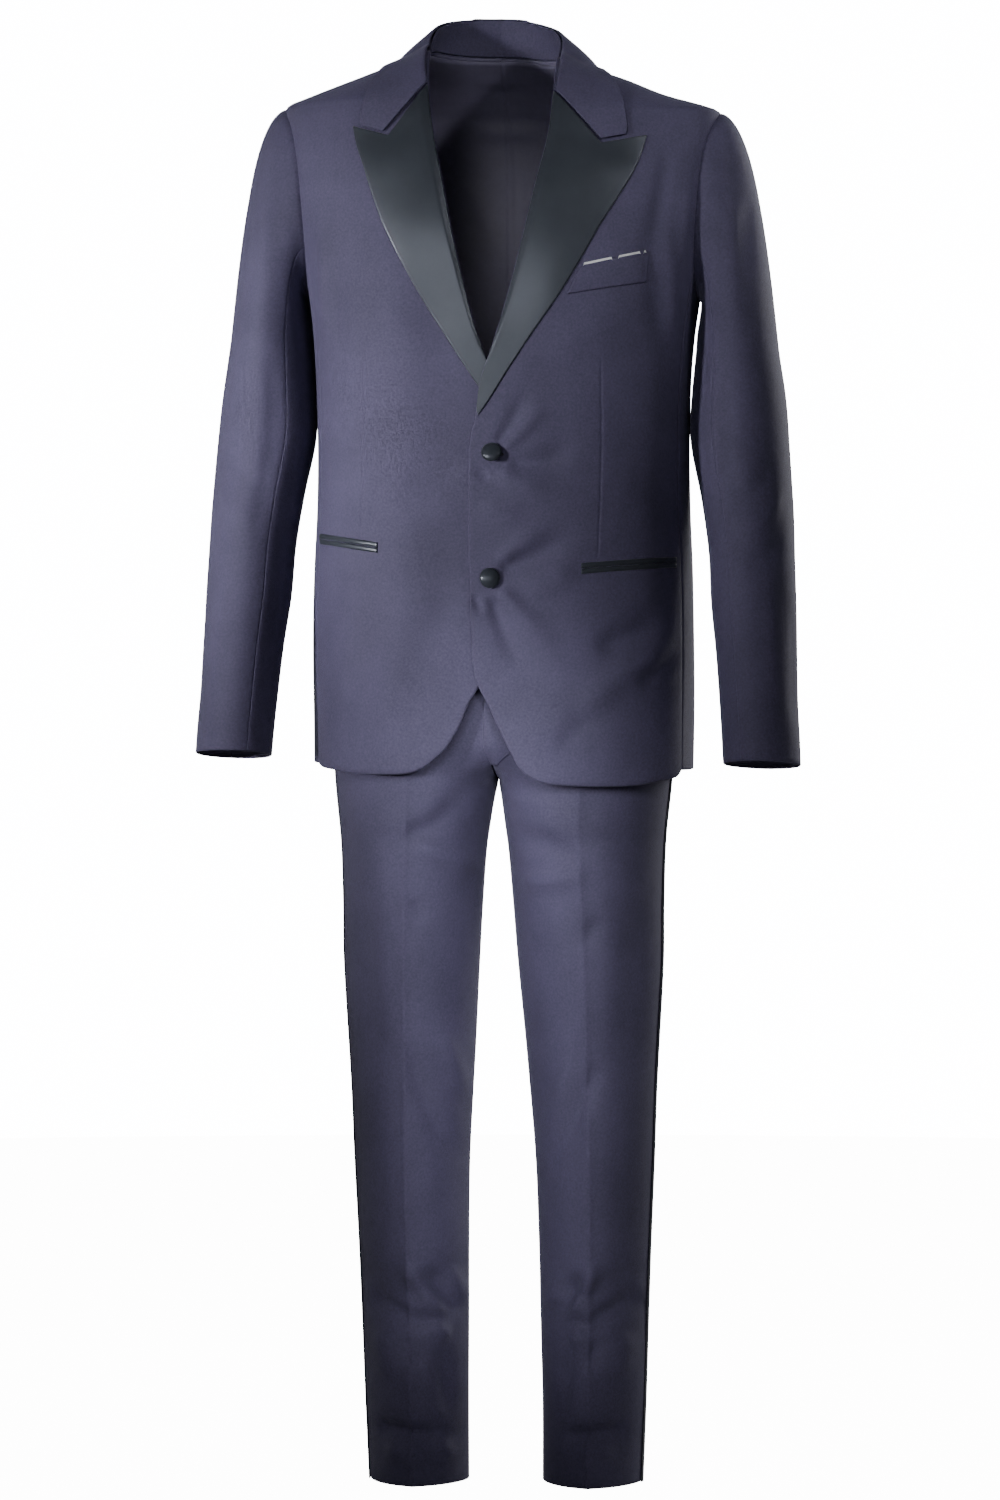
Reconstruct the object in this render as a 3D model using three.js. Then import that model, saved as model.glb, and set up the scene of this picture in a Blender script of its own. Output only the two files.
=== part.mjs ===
import * as THREE from "three";

// A two-button dinner suit with satin peak lapels, standing in the hollow form of a worn garment.
// Millimetres, +Z up. The wearer faces -Y and the garment's own left side is at +X.
// The origin is inside the neck opening, level with the two points where the shoulder seams
// meet the collar, because that is where the wearer's shoulders hold the suit.

// Driving dimensions
const wool = 2.0; // jacket cloth with its canvas
const trouserWool = 1.6;
const satin = 1.2;
const liningCloth = 1.0;
const collarCloth = 1.7;
const standCloth = 1.8;
const waistCloth = 2.4;
const seamGap = 0.16; // each piece stops this short of a seam, so two pieces lie 0.32 apart
const lie = 0.6; // clearance under a piece that lies on a panel
const liningGap = 1.2; // clearance between the back and its lining
const shoulderZ = -60; // where the shoulder seam meets the sleeve
const armholeDrop = 195; // shoulder point to the bottom of the armhole
const armholeDepth = 142; // front to back
const armholeSamples = 24; // the armhole's points, shared by panels and sleeves
const sideSeamSample = 9; // the front panel's side seam starts at this point of the armhole
const underlap = 5; // the right front lies this much deeper where the left one covers it
const overlapTop = -325; // where the two lapels cross
const splitZ = -520; // above this height the fronts' rows are level
const liningReach = 158; // the back lining is modelled this far to each side
const backHemZ = -739;
const sideHemZ = -741;
const backSeamHemY = 60; // the back side seam at the hem
const wornTilt = 0.02; // the jacket sits this much lower on the wearer's left
const legGap = 0.3; // half the gap between the two trouser halves at the centre seams
const crotch = { y: -6, z: -755 };
const lowShoulder = 6; // the wearer's left shoulder drops this much more beside the neck
const stripeWidth = 20;

// The jacket's level sections from neck to hem: half width, depth in front and behind,
// and the exponent of the superellipse.
const bodySections = [
  { z: 10, half: 60, front: 46, back: 68, power: 2.2 },
  { z: 0, half: 81, front: 56, back: 76, power: 2.2 },
  { z: -8, half: 97, front: 63, back: 82, power: 2.2 },
  { z: -15, half: 114, front: 69, back: 87, power: 2.25 },
  { z: -22, half: 133, front: 75, back: 92, power: 2.3 },
  { z: -32, half: 158, front: 82, back: 98, power: 2.35 },
  { z: -42, half: 184, front: 88, back: 103, power: 2.4 },
  { z: -52, half: 209, front: 93.5, back: 107.5, power: 2.5 },
  { z: -60, half: 226, front: 97, back: 110, power: 2.6 },
  { z: -85, half: 228, front: 106, back: 116, power: 2.8 },
  { z: -120, half: 226, front: 116, back: 121, power: 2.9 },
  { z: -160, half: 221, front: 123, back: 124, power: 2.9 },
  { z: -200, half: 213, front: 128, back: 124, power: 2.9 },
  { z: -240, half: 205, front: 131, back: 121, power: 2.8 },
  { z: -290, half: 198.5, front: 133, back: 115, power: 2.6 },
  { z: -350, half: 194.5, front: 134, back: 107, power: 2.5 },
  { z: -410, half: 193, front: 134.5, back: 102, power: 2.45 },
  { z: -470, half: 194, front: 135, back: 105, power: 2.4 },
  { z: -540, half: 197, front: 135.5, back: 114, power: 2.4 },
  { z: -620, half: 198, front: 136, back: 123, power: 2.4 },
  { z: -700, half: 197.5, front: 136, back: 127, power: 2.4 },
  { z: -790, half: 196.5, front: 136, back: 129, power: 2.4 },
];
// How far the worn jacket's middle stands off the centre.
const middleShift = [
  { z: 60, x: -10 }, { z: 0, x: -9 }, { z: -45, x: -7 }, { z: -90, x: -5 },
  { z: -216, x: -5 }, { z: -325, x: -5 }, { z: -420, x: -1 }, { z: -800, x: -1 },
];
const thighShift = [
  { z: -640, x: 0 }, { z: -760, x: -5 }, { z: -817, x: -6 }, { z: -942, x: -5 }, { z: -1040, x: -3 },
  { z: -1233, x: -1 }, { z: -1400, x: 0 },
];
// The front panel's inner edge: neck seam, roll line of the lapel, then the closing edge.
const frontEdge = [
  { z: 0, x: 66 }, { z: -42, x: 64 }, { z: -90, x: 58.5 }, { z: -142, x: 47.6 },
  { z: -216, x: 32 }, { z: -286, x: 14 }, { z: -325, x: 1 }, { z: -354, x: -9 },
  { z: -389, x: -15 }, { z: -410, x: -21.5 }, { z: -470, x: -23 }, { z: -520, x: -23 },
  { z: -600, x: -21.5 }, { z: -645, x: -18 },
];
// The two fronts: the cutaway and hem from the closing edge to the side seam, and the hip pocket.
const fronts = {
  left: {
    side: 1,
    hem: [
      { x: -19, z: -635 }, { x: -14, z: -657 }, { x: -3.4, z: -677 }, { x: 7.3, z: -700 },
      { x: 20, z: -726 }, { x: 32, z: -745 }, { x: 51, z: -756 }, { x: 78, z: -759 },
      { x: 115, z: -759.3 }, { x: 152, z: -756.5 }, { x: 177, z: -748 }, { x: 187, z: -741.5 },
    ],
    pocket: { inner: 91, outer: 183, zInner: -538, zOuter: -528 },
    reach: 5,
  },
  right: {
    side: -1,
    hem: [
      { x: -20, z: -570 }, { x: -14, z: -610 }, { x: 2, z: -646 }, { x: 22, z: -675 },
      { x: 33, z: -701 }, { x: 46, z: -722 }, { x: 58, z: -734 }, { x: 73, z: -745 },
      { x: 87, z: -750 }, { x: 111, z: -751.4 }, { x: 147, z: -751 }, { x: 170, z: -746 },
      { x: 187, z: -740 },
    ],
    pocket: { inner: 118, outer: 184, zInner: -520, zOuter: -510 },
    reach: -6,
  },
};
// Lapel and collar: the free outer edge of the lapel, and the notch.
const lapelEdge = [
  { x: 151, z: -88 }, { x: 145, z: -112 }, { x: 129, z: -152 }, { x: 103, z: -205 },
  { x: 74, z: -257 }, { x: 44, z: -303 }, { x: 21, z: -338 }, { x: -1, z: -371 },
  { x: -11, z: -384 },
];
const gorgeStart = { x: 64.5, z: -43 };
const notch = { x: 109, z: -98 };
const collarTip = { x: 135, z: -89 };
const collarRows = [
  { along: 0, foldX: 0, foldY: 70, foldZ: 46, edgeX: 0, edgeY: 84, edgeZ: -8 },
  { along: 0.2, foldX: 34, foldY: 62, foldZ: 44.5, edgeX: 45, edgeY: 79, edgeZ: -8 },
  { along: 0.4, foldX: 58, foldY: 38, foldZ: 38, edgeX: 84, edgeY: 50, edgeZ: -9 },
  { along: 0.55, foldX: 67, foldY: 12, foldZ: 28, edgeX: 104, edgeY: 14, edgeZ: -12 },
  { along: 0.7, foldX: 69, foldY: -14, foldZ: 12, edgeX: 111, edgeY: -28, edgeZ: -19 },
  { along: 0.85, foldX: 67, foldY: -48, foldZ: -12, edgeX: 124, edgeY: -64, edgeZ: -42 },
  { along: 1, foldX: 64.5, foldY: -84, foldZ: -41, edgeX: 135, edgeY: -98, edgeZ: -88 },
];
const standEnd = 0.76; // the collar stand reaches this far along the collar to each side
const neckSeamZ = 5.6; // the foot of the stand, just above the back panels
// The sleeve's sections below the sleeve head: centre, half width and half depth.
const sleeveSections = [
  { z: -300, x: 243, y: 2, wide: 42.5, deep: 71 },
  { z: -350, x: 244, y: -2, wide: 47.5, deep: 67 },
  { z: -401, x: 245.5, y: -8, wide: 50.5, deep: 63 },
  { z: -464, x: 253.5, y: -18, wide: 46.5, deep: 58.5 },
  { z: -516, x: 258.5, y: -30, wide: 44, deep: 56 },
  { z: -568, x: 261.5, y: -42, wide: 44, deep: 54 },
  { z: -620, x: 265.5, y: -55, wide: 42, deep: 52.5 },
  { z: -672, x: 268.5, y: -66, wide: 40.5, deep: 51 },
  { z: -704, x: 270.5, y: -73, wide: 40, deep: 50.5 },
  { z: -734, x: 272, y: -79, wide: 39.5, deep: 50 },
];
const cuffSlope = 0.09; // the cuff hangs lower behind, for each millimetre of depth
const capRows = 6;
// The trousers: level sections of the hips, then of one leg.
const hipSections = [
  { z: -475, half: 160, front: 104, back: 86 },
  { z: -510, half: 164, front: 108, back: 91 },
  { z: -560, half: 170, front: 112, back: 101 },
  { z: -620, half: 176, front: 115, back: 112 },
  { z: -680, half: 177.5, front: 114, back: 118 },
  { z: -730, half: 176, front: 111, back: 117 },
  { z: -800, half: 170, front: 106, back: 112 },
];
const legSections = [
  { z: -700, outer: 177, inner: 1, front: 106, back: 112, y: -6, power: 2.0 },
  { z: -755, outer: 174, inner: 1, front: 104, back: 110, y: -6, power: 2.0 },
  { z: -817, outer: 168, inner: 10.4, front: 100, back: 105, y: -6, power: 1.9 },
  { z: -880, outer: 166, inner: 15.6, front: 95, back: 99, y: -5, power: 1.85 },
  { z: -942, outer: 165.4, inner: 19.8, front: 90, back: 94, y: -4, power: 1.8 },
  { z: -1067, outer: 158.6, inner: 29, front: 82, back: 86, y: 1, power: 1.75 },
  { z: -1150, outer: 155.5, inner: 34.3, front: 79, back: 82, y: 5, power: 1.7 },
  { z: -1233, outer: 151.8, inner: 36.4, front: 76, back: 79, y: 10, power: 1.65 },
  { z: -1317, outer: 148.7, inner: 37.4, front: 74, back: 76, y: 15, power: 1.65 },
  { z: -1400, outer: 146, inner: 38.5, front: 72, back: 74, y: 19, power: 1.6 },
  { z: -1486, outer: 142.5, inner: 38.5, front: 71, back: 73, y: 22, power: 1.6 },
];
// The rows of a trouser panel where the hips part into two legs.
const seatRows = [
  { zSide: -703, share: 0.08, frontY: -111, frontZ: -702, backY: 114, backZ: -702 },
  { zSide: -724, share: 0.25, frontY: -104, frontZ: -723, backY: 104, backZ: -723 },
  { zSide: -745, share: 0.5, frontY: -84, frontZ: -739, backY: 80, backZ: -740 },
  { zSide: -766, share: 0.75, frontY: -46, frontZ: -749, backY: 38, backZ: -751 },
  { zSide: -788, share: 1, frontY: crotch.y, frontZ: crotch.z, backY: crotch.y, backZ: crotch.z },
];
const legRowsZ = [
  -817, -860, -915, -985, -1065, -1150, -1215, -1262, -1290, -1312, -1340, -1385, -1418, -1436, -1458,
  -1485,
];
// The trousers' large folds: height at the crease, rise to each side, depth and half width in z.
const legFolds = [
  { z: -815, rise: -20, depth: 2.5, spread: 16 },
  { z: -1286, rise: -30, depth: 4.5, spread: 17 },
  { z: -1318, rise: -24, depth: 3.5, spread: 13 },
  { z: -1434, rise: -4, depth: 3.5, spread: 15 },
];
const trouserCols = 8;
const buttons = { radius: 10.5, rim: 2.4, height: 6.2, shank: 3.2 };
const buttonPlaces = [
  { name: "button_upper", x: 1.5, z: -424 },
  { name: "button_lower", x: -2, z: -550 },
];

const finishes = {
  wool: { color: 0x4a4961, roughness: 0.85 },
  satin: { color: 0x2b3038, roughness: 0.35 },
  lining: { color: 0x24222f, roughness: 0.6 },
  white: { color: 0xe8e8ea, roughness: 0.8 },
};

// Small tools
const clamp = (v, low = 0, high = 1) => Math.min(high, Math.max(low, v));
const mix = (a, b, t) => a + (b - a) * t;
const eased = (c) => c * c * (3 - 2 * c);
const smooth = (t) => eased(clamp(t));
const add = (p, q, k = 1) => [p[0] + q[0] * k, p[1] + q[1] * k, p[2] + q[2] * k];
const between = (p, q, t) => [mix(p[0], q[0], t), mix(p[1], q[1], t), mix(p[2], q[2], t)];
const length = (p) => Math.hypot(p[0], p[1], p[2]);
const scaled = (p, k) => [p[0] * k, p[1] * k, p[2] * k];
const unit = (p) => scaled(p, 1 / (length(p) || 1));
const cross = (p, q) => [
  p[1] * q[2] - p[2] * q[1], p[2] * q[0] - p[0] * q[2], p[0] * q[1] - p[1] * q[0],
];
const steps = (n) => Array.from({ length: n + 1 }, (_, i) => i / n);

// A value from a table whose rows fall or rise along one column, eased between the rows.
function lookUp(rows, key, value, column) {
  const rising = rows[rows.length - 1][key] > rows[0][key];
  const sign = rising ? 1 : -1;
  if (sign * value <= sign * rows[0][key]) return rows[0][column];
  for (let i = 0; i + 1 < rows.length; i += 1) {
    const [a, b] = [rows[i], rows[i + 1]];
    if (sign * value <= sign * b[key]) {
      const t = (value - a[key]) / (b[key] - a[key]);
      const before = rows[i - 1] ?? a;
      const after = rows[i + 2] ?? b;
      const gap = b[key] - a[key];
      const slopeA = (b[column] - before[column]) / (b[key] - before[key]) * gap;
      const slopeB = (after[column] - a[column]) / (after[key] - a[key]) * gap;
      const [t2, t3] = [t * t, t * t * t];
      return (2 * t3 - 3 * t2 + 1) * a[column] + (t3 - 2 * t2 + t) * slopeA
        + (3 * t2 - 2 * t3) * b[column] + (t3 - t2) * slopeB;
    }
  }
  return rows[rows.length - 1][column];
}

// Points at equal distances along a list of plane points {x, z}.
function spaced(points, count) {
  const along = [0];
  for (let i = 1; i < points.length; i += 1) {
    along.push(along[i - 1] + Math.hypot(points[i].x - points[i - 1].x, points[i].z - points[i - 1].z));
  }
  return steps(count).map((t) => {
    const at = t * along[along.length - 1];
    let i = 1;
    while (i < points.length - 1 && along[i] < at) i += 1;
    const share = (at - along[i - 1]) / (along[i] - along[i - 1]);
    return { x: mix(points[i - 1].x, points[i].x, share), z: mix(points[i - 1].z, points[i].z, share) };
  });
}

// The body surface: a level superellipse at each height
const sectionAt = (z) => ({
  half: lookUp(bodySections, "z", z, "half"),
  front: lookUp(bodySections, "z", z, "front"),
  back: lookUp(bodySections, "z", z, "back"),
  power: lookUp(bodySections, "z", z, "power"),
});

// Above 1 outside the body, below 1 inside.
function bodyValue(p) {
  const s = sectionAt(p[2]);
  const depth = p[1] < 0 ? s.front : s.back;
  return Math.abs(p[0] / s.half) ** s.power + Math.abs(p[1] / depth) ** s.power;
}

function bodySlope(p) {
  const e = 0.05;
  return [0, 1, 2].map((axis) => {
    const step = [0, 0, 0];
    step[axis] = e;
    return (bodyValue(add(p, step)) - bodyValue(add(p, step, -1))) / (2 * e);
  });
}

const bodyNormal = (p) => unit(bodySlope(p));
const bodyLift = (p) => (bodyValue(p) - 1) / length(bodySlope(p));

// Moves a point along the body's normal until it lies the given distance off the surface.
function atLift(p, lift, onlyOut = false) {
  let q = p;
  for (let i = 0; i < 6; i += 1) {
    const short = lift - bodyLift(q);
    if (onlyOut && short < 0) return q;
    q = add(q, bodyNormal(q), clamp(short, -12, 12) * 0.9);
  }
  return q;
}

// Half a level section as a measured line from the front centre round to the back centre.
const measured = new Map();
function halfRing(z) {
  const key = z.toFixed(3);
  if (!measured.has(key)) {
    const s = sectionAt(z);
    const points = steps(120).map((t) => {
      const angle = Math.PI * t;
      const depth = angle < Math.PI / 2 ? s.front : s.back;
      return [
        s.half * Math.sin(angle) ** (2 / s.power),
        -depth * Math.sign(Math.cos(angle)) * Math.abs(Math.cos(angle)) ** (2 / s.power),
      ];
    });
    const along = [0];
    for (let i = 1; i < points.length; i += 1) {
      const [[fromX, fromY], [x, y]] = [points[i - 1], points[i]];
      along.push(along[i - 1] + Math.hypot(x - fromX, y - fromY));
    }
    measured.set(key, { points, along });
  }
  return measured.get(key);
}

// The point a distance round the section from the front centre, negative towards -X.
function onBody(distance, z) {
  const { points, along } = halfRing(z);
  const d = Math.min(Math.abs(distance), along[along.length - 1]);
  let i = 1;
  while (i < points.length - 1 && along[i] < d) i += 1;
  const t = (d - along[i - 1]) / (along[i] - along[i - 1]);
  const x = mix(points[i - 1][0], points[i][0], t);
  return [Math.sign(distance) * x, mix(points[i - 1][1], points[i][1], t), z];
}

// The distance round the section to where its front has this x, or its side has this y.
function toX(x, z) {
  const s = sectionAt(z);
  const share = clamp(Math.abs(x) / s.half, 0, 0.9999);
  return Math.sign(x) * toY(-s.front * (1 - share ** s.power) ** (1 / s.power), z);
}

function toY(y, z) {
  const { points, along } = halfRing(z);
  let i = 1;
  while (i < points.length - 1 && points[i][1] < y) i += 1;
  const t = clamp((y - points[i - 1][1]) / (points[i][1] - points[i - 1][1]));
  return mix(along[i - 1], along[i], t);
}

const toBackCentre = (z) => halfRing(z).along[120];
const frontPoint = (x, z) => onBody(toX(x, z), z);

// Where the covered front lies deeper, in its own half's coordinates.
const deeper = (x, z) => -underlap * (1 - smooth((x - 40) / 65)) * smooth((-180 - z) / 100);

// How the worn jacket sits: its middle off centre, and one side lower.
function wear(p) {
  const fade = 1 - smooth(Math.abs(p[0]) / 210);
  const beside = smooth((p[0] - 10) / 60) * (1 - smooth((p[0] - 158) / 80)) * smooth((p[2] + 190) / 110);
  return [
    p[0] + lookUp(middleShift, "z", p[2], "x") * fade,
    p[1],
    p[2] - wornTilt * p[0] - lowShoulder * beside,
  ];
}

// How the worn trousers stand: the thighs a little to the wearer's right.
function stand(p) {
  return [p[0] + lookUp(thighShift, "z", p[2], "x") * (1 - smooth(Math.abs(p[0]) / 165)), p[1], p[2]];
}

// A closed wall between two grids of points
function wall(outer, inner, place = (p) => p) {
  const rows = outer.length;
  const cols = outer[0].length;
  const flat = [...outer.flat(), ...inner.flat()].map(place);
  const at = (side, r, c) => side * rows * cols + r * cols + c;
  const faces = [];
  const quad = (a, b, c, d) => faces.push(a, b, c, a, c, d);
  for (let r = 0; r + 1 < rows; r += 1) {
    for (let c = 0; c + 1 < cols; c += 1) {
      quad(at(0, r, c), at(0, r, c + 1), at(0, r + 1, c + 1), at(0, r + 1, c));
      quad(at(1, r + 1, c), at(1, r + 1, c + 1), at(1, r, c + 1), at(1, r, c));
    }
  }
  for (let c = 0; c + 1 < cols; c += 1) {
    quad(at(0, 0, c + 1), at(0, 0, c), at(1, 0, c), at(1, 0, c + 1));
    quad(at(0, rows - 1, c), at(0, rows - 1, c + 1), at(1, rows - 1, c + 1), at(1, rows - 1, c));
  }
  for (let r = 0; r + 1 < rows; r += 1) {
    quad(at(0, r, 0), at(0, r + 1, 0), at(1, r + 1, 0), at(1, r, 0));
    quad(at(0, r + 1, cols - 1), at(0, r, cols - 1), at(1, r, cols - 1), at(1, r + 1, cols - 1));
  }
  return meshOf(flat, faces);
}

// A geometry with its faces turned outwards.
function meshOf(points, faces) {
  let volume = 0;
  for (let i = 0; i < faces.length; i += 3) {
    const [a, b, c] = [points[faces[i]], points[faces[i + 1]], points[faces[i + 2]]];
    const n = cross(b, c);
    volume += a[0] * n[0] + a[1] * n[1] + a[2] * n[2];
  }
  const index = faces.slice();
  if (volume < 0) {
    for (let i = 0; i < index.length; i += 3) [index[i], index[i + 1]] = [index[i + 1], index[i]];
  }
  const geometry = new THREE.BufferGeometry();
  geometry.setAttribute("position", new THREE.BufferAttribute(new Float32Array(points.flat()), 3));
  geometry.setIndex(index);
  geometry.computeVertexNormals();
  return geometry;
}

// Pulls the outside rows and columns of a grid in from the seams.
function trimmed(grid, gaps = {}) {
  const { first = seamGap, last = seamGap, start = seamGap, end = seamGap } = gaps;
  const pull = (p, q, gap) => add(p, unit(add(q, p, -1)), gap);
  const rows = grid.map((row) => {
    const copy = row.slice();
    const n = row.length - 1;
    copy[0] = pull(row[0], row[1], start);
    copy[n] = pull(row[n], row[n - 1], end);
    return copy;
  });
  const m = rows.length - 1;
  const top = rows[0].map((p, c) => pull(p, rows[1][c], first));
  const bottom = rows[m].map((p, c) => pull(p, rows[m - 1][c], last));
  return [top, ...rows.slice(1, m), bottom];
}

const group = new THREE.Group();
const mirrorX = (p) => [-p[0], p[1], p[2]];

function addPiece(name, finish, geometry) {
  const look = finishes[finish];
  const material = new THREE.MeshStandardMaterial({ ...look, metalness: 0 });
  const mesh = new THREE.Mesh(geometry, material);
  mesh.name = name;
  group.add(mesh);
}

// Where a half's points go: mirrored for the right side, then worn.
const placed = (side) => (p) => wear(side > 0 ? p : mirrorX(p));
const standing = (side) => (p) => stand(side > 0 ? p : mirrorX(p));

// A wall whose outer face is the body surface moved out by lift(p) at each point of the grid.
function bodyWall(grid, thickness, place, lift = () => 0) {
  const outer = grid.map((row) => row.map((p) => add(p, bodyNormal(p), lift(p))));
  const inner = grid.map((row) => row.map((p) => add(p, bodyNormal(p), lift(p) - thickness)));
  return wall(outer, inner, place);
}

// The armhole, as seen from the side, laid on the body surface
function armholePoint(k) {
  const angle = Math.PI / 2 + 2 * Math.PI * k / armholeSamples;
  const curve = (v) => Math.sign(v) * Math.abs(v) ** (2 / 2.25);
  const y = armholeDepth / 2 * curve(Math.cos(angle));
  const z = shoulderZ - armholeDrop / 2 * (1 - curve(Math.sin(angle)));
  return onBody(toY(y, z), z);
}

const armhole = Array.from({ length: armholeSamples }, (_, k) => armholePoint(k));
const seamTop = armhole[sideSeamSample];
const backSeamTop = armhole[armholeSamples - sideSeamSample];
const seamRowsZ = [seamTop[2], -262, -300, -345, -390, -435, -480, splitZ];
const shoulderRowsZ = [-52, -42, -32, -22, -11, -2];
const lowerRows = 6;
const sideSeam = (z) => toY(seamTop[1], z);
const belowArmhole = (z) => clamp((seamTop[2] - z) / (seamTop[2] - backHemZ));
const backSeamY = (z) => mix(backSeamTop[1], backSeamHemY, belowArmhole(z));
const backSeam = (z) => toY(backSeamY(z), z);
const edgeAt = (z) => toX(lookUp(frontEdge, "z", z, "x"), z);

function rowBetween(from, to, z, count) {
  return steps(count).map((t) => onBody(mix(from, to, t), z));
}

// A front panel: level rows down to splitZ, then rows that bend into the cutaway and hem.
function frontPanel(front) {
  const cols = 10;
  const grid = [];
  for (const z of shoulderRowsZ.slice().reverse()) {
    grid.push(rowBetween(edgeAt(z), toY(0, z), z, cols));
  }
  for (let k = 0; k < sideSeamSample; k += 1) {
    const [, y, z] = armhole[k];
    grid.push(rowBetween(edgeAt(z), toY(y, z), z, cols));
  }
  for (const z of seamRowsZ) grid.push(rowBetween(edgeAt(z), sideSeam(z), z, cols));
  const hem = spaced(front.hem, cols);
  for (const share of steps(lowerRows).slice(1)) {
    grid.push(steps(cols).map((t, i) => {
      const topDistance = mix(edgeAt(splitZ), sideSeam(splitZ), t);
      const z = mix(splitZ, hem[i].z, share);
      const hemDistance = i === cols ? sideSeam(sideHemZ) : toX(hem[i].x, hem[i].z);
      const distance = i === cols ? sideSeam(z) : mix(topDistance, hemDistance, share);
      return onBody(distance, z);
    }));
  }
  const lift = front.side > 0 ? () => 0 : (p) => deeper(p[0], p[2]);
  return bodyWall(trimmed(grid, { first: 0, last: 0, start: 0 }), wool, placed(front.side), lift);
}

function sidePanel(side) {
  const ks = Array.from({ length: armholeSamples - 2 * sideSeamSample + 1 }, (_, i) => sideSeamSample + i);
  const cols = ks.length - 1;
  const grid = [ks.map((k) => armhole[k])];
  const lowZ = steps(lowerRows).slice(1);
  const zRows = [...seamRowsZ.slice(1), ...lowZ.map((share) => mix(splitZ, sideHemZ, share))];
  zRows.forEach((z, r) => {
    grid.push(ks.map((k, i) => {
      const t = i / cols;
      const sag = r === 0 ? (armhole[k][2] - seamTop[2]) * 0.4 : 0;
      const hemRise = (backHemZ - sideHemZ) * t * clamp((splitZ - z) / (splitZ - sideHemZ));
      const level = z + sag + hemRise;
      return onBody(mix(sideSeam(level), backSeam(level), t), level);
    }));
  });
  return bodyWall(trimmed(grid, { last: 0 }), wool, placed(side));
}

function backPanel(side) {
  const cols = 7;
  const grid = [];
  for (const z of [5, ...shoulderRowsZ.slice().reverse()]) {
    const from = z > 0 ? toY(28, z) : toY(0, z);
    grid.push(rowBetween(from, toBackCentre(z), z, cols));
  }
  for (let k = 0; k < sideSeamSample; k += 1) {
    const [, y, z] = armhole[(armholeSamples - k) % armholeSamples];
    grid.push(rowBetween(toY(y, z), toBackCentre(z), z, cols));
  }
  const lowZ = steps(lowerRows).slice(1).map((share) => mix(splitZ, backHemZ, share));
  for (const z of [...seamRowsZ, ...lowZ]) {
    grid.push(rowBetween(backSeam(z), toBackCentre(z), z, cols));
  }
  return bodyWall(trimmed(grid, { first: 0, last: 0 }), wool, placed(side));
}

// The lining of the upper back, which shows through the open neck.
function backLining() {
  const cols = 8;
  const lowestZ = -450;
  const inside = -(wool + liningGap);
  const armholeZ = armhole.slice(0, sideSeamSample).map((p) => p[2]);
  const levels = [3, -11, -22, -32, -42, ...armholeZ, ...seamRowsZ.filter((z) => z > lowestZ)];
  const grid = levels.map((z) => {
    const reach = Math.min(toBackCentre(z) - toY(20, z), liningReach);
    return steps(cols).map((t) => {
      const round = mix(-reach, reach, t);
      const p = onBody(toBackCentre(z) - Math.abs(round), z);
      return [Math.sign(round) * p[0], p[1], p[2]];
    });
  });
  return bodyWall(grid, liningCloth, placed(1), () => inside);
}

// A sleeve: the head is led from the armhole to the first level section, point by point.
function sleeveGrid() {
  const first = sleeveSections[0];
  const ringPoint = (section, k) => {
    const angle = Math.PI / 2 + 2 * Math.PI * k / armholeSamples;
    const drop = section.z < -700 ? 1 : clamp((-600 - section.z) / 100);
    const y = section.deep * Math.cos(angle);
    return [section.x + section.wide * Math.sin(angle), section.y + y, section.z - cuffSlope * drop * y];
  };
  const head = steps(capRows).map((t) => armhole.map((from, k) => {
    const angle = Math.PI / 2 + 2 * Math.PI * k / armholeSamples;
    const up = Math.sin(angle);
    const high = clamp(up);
    const low = clamp(-up);
    const to = ringPoint(first, k);
    const leave = [mix(mix(55, 110, high), 26, low), 0, mix(mix(-25, -30, high), 0, low)];
    leave[1] = 14 * Math.cos(angle) * (1 - high);
    const arrive = [mix(8, 25, high) * (1 - low), 0, mix(mix(-130, -230, high), -60, low)];
    const [t2, t3] = [t * t, t * t * t];
    return [0, 1, 2].map((i) => (2 * t3 - 3 * t2 + 1) * from[i] + (t3 - 2 * t2 + t) * leave[i]
      + (3 * t2 - 2 * t3) * to[i] + (t3 - t2) * arrive[i]);
  }));
  const rest = sleeveSections.slice(1).map((s) => armhole.map((_, k) => ringPoint(s, k)));
  return [...head, ...rest];
}

// Unit normals of a tube of closed rows, pointing away from its middle.
function tubeNormals(grid) {
  return grid.map((row, r) => {
    const n = row.length;
    const above = grid[Math.max(r - 1, 0)];
    const below = grid[Math.min(r + 1, grid.length - 1)];
    return row.map((p, c) => {
      const round = add(row[(c + 1) % n], row[(c + n - 1) % n], -1);
      return unit(cross(round, add(below[c], above[c], -1)));
    });
  });
}

function sleevePieces(side, label) {
  const grid = sleeveGrid();
  const normals = tubeNormals(grid);
  const towards = Math.sign(normals[9][0][0]) || 1;
  const pieceOf = (fromK, toK) => {
    const cut = (rows) => rows.map((row) => {
      const out = [];
      for (let k = fromK; k <= toK; k += 1) out.push(row[(k + armholeSamples) % armholeSamples]);
      return out;
    });
    const outer = trimmed(cut(grid), { first: 0.45, last: 0 });
    const turned = cut(normals);
    const inner = outer.map((row, r) => row.map((p, c) => add(p, turned[r][c], -towards * wool * 0.9)));
    return wall(outer, inner, placed(side));
  };
  addPiece(`top_sleeve_${label}`, "wool", pieceOf(-5, 8));
  addPiece(`under_sleeve_${label}`, "wool", pieceOf(8, 19));
}

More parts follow.
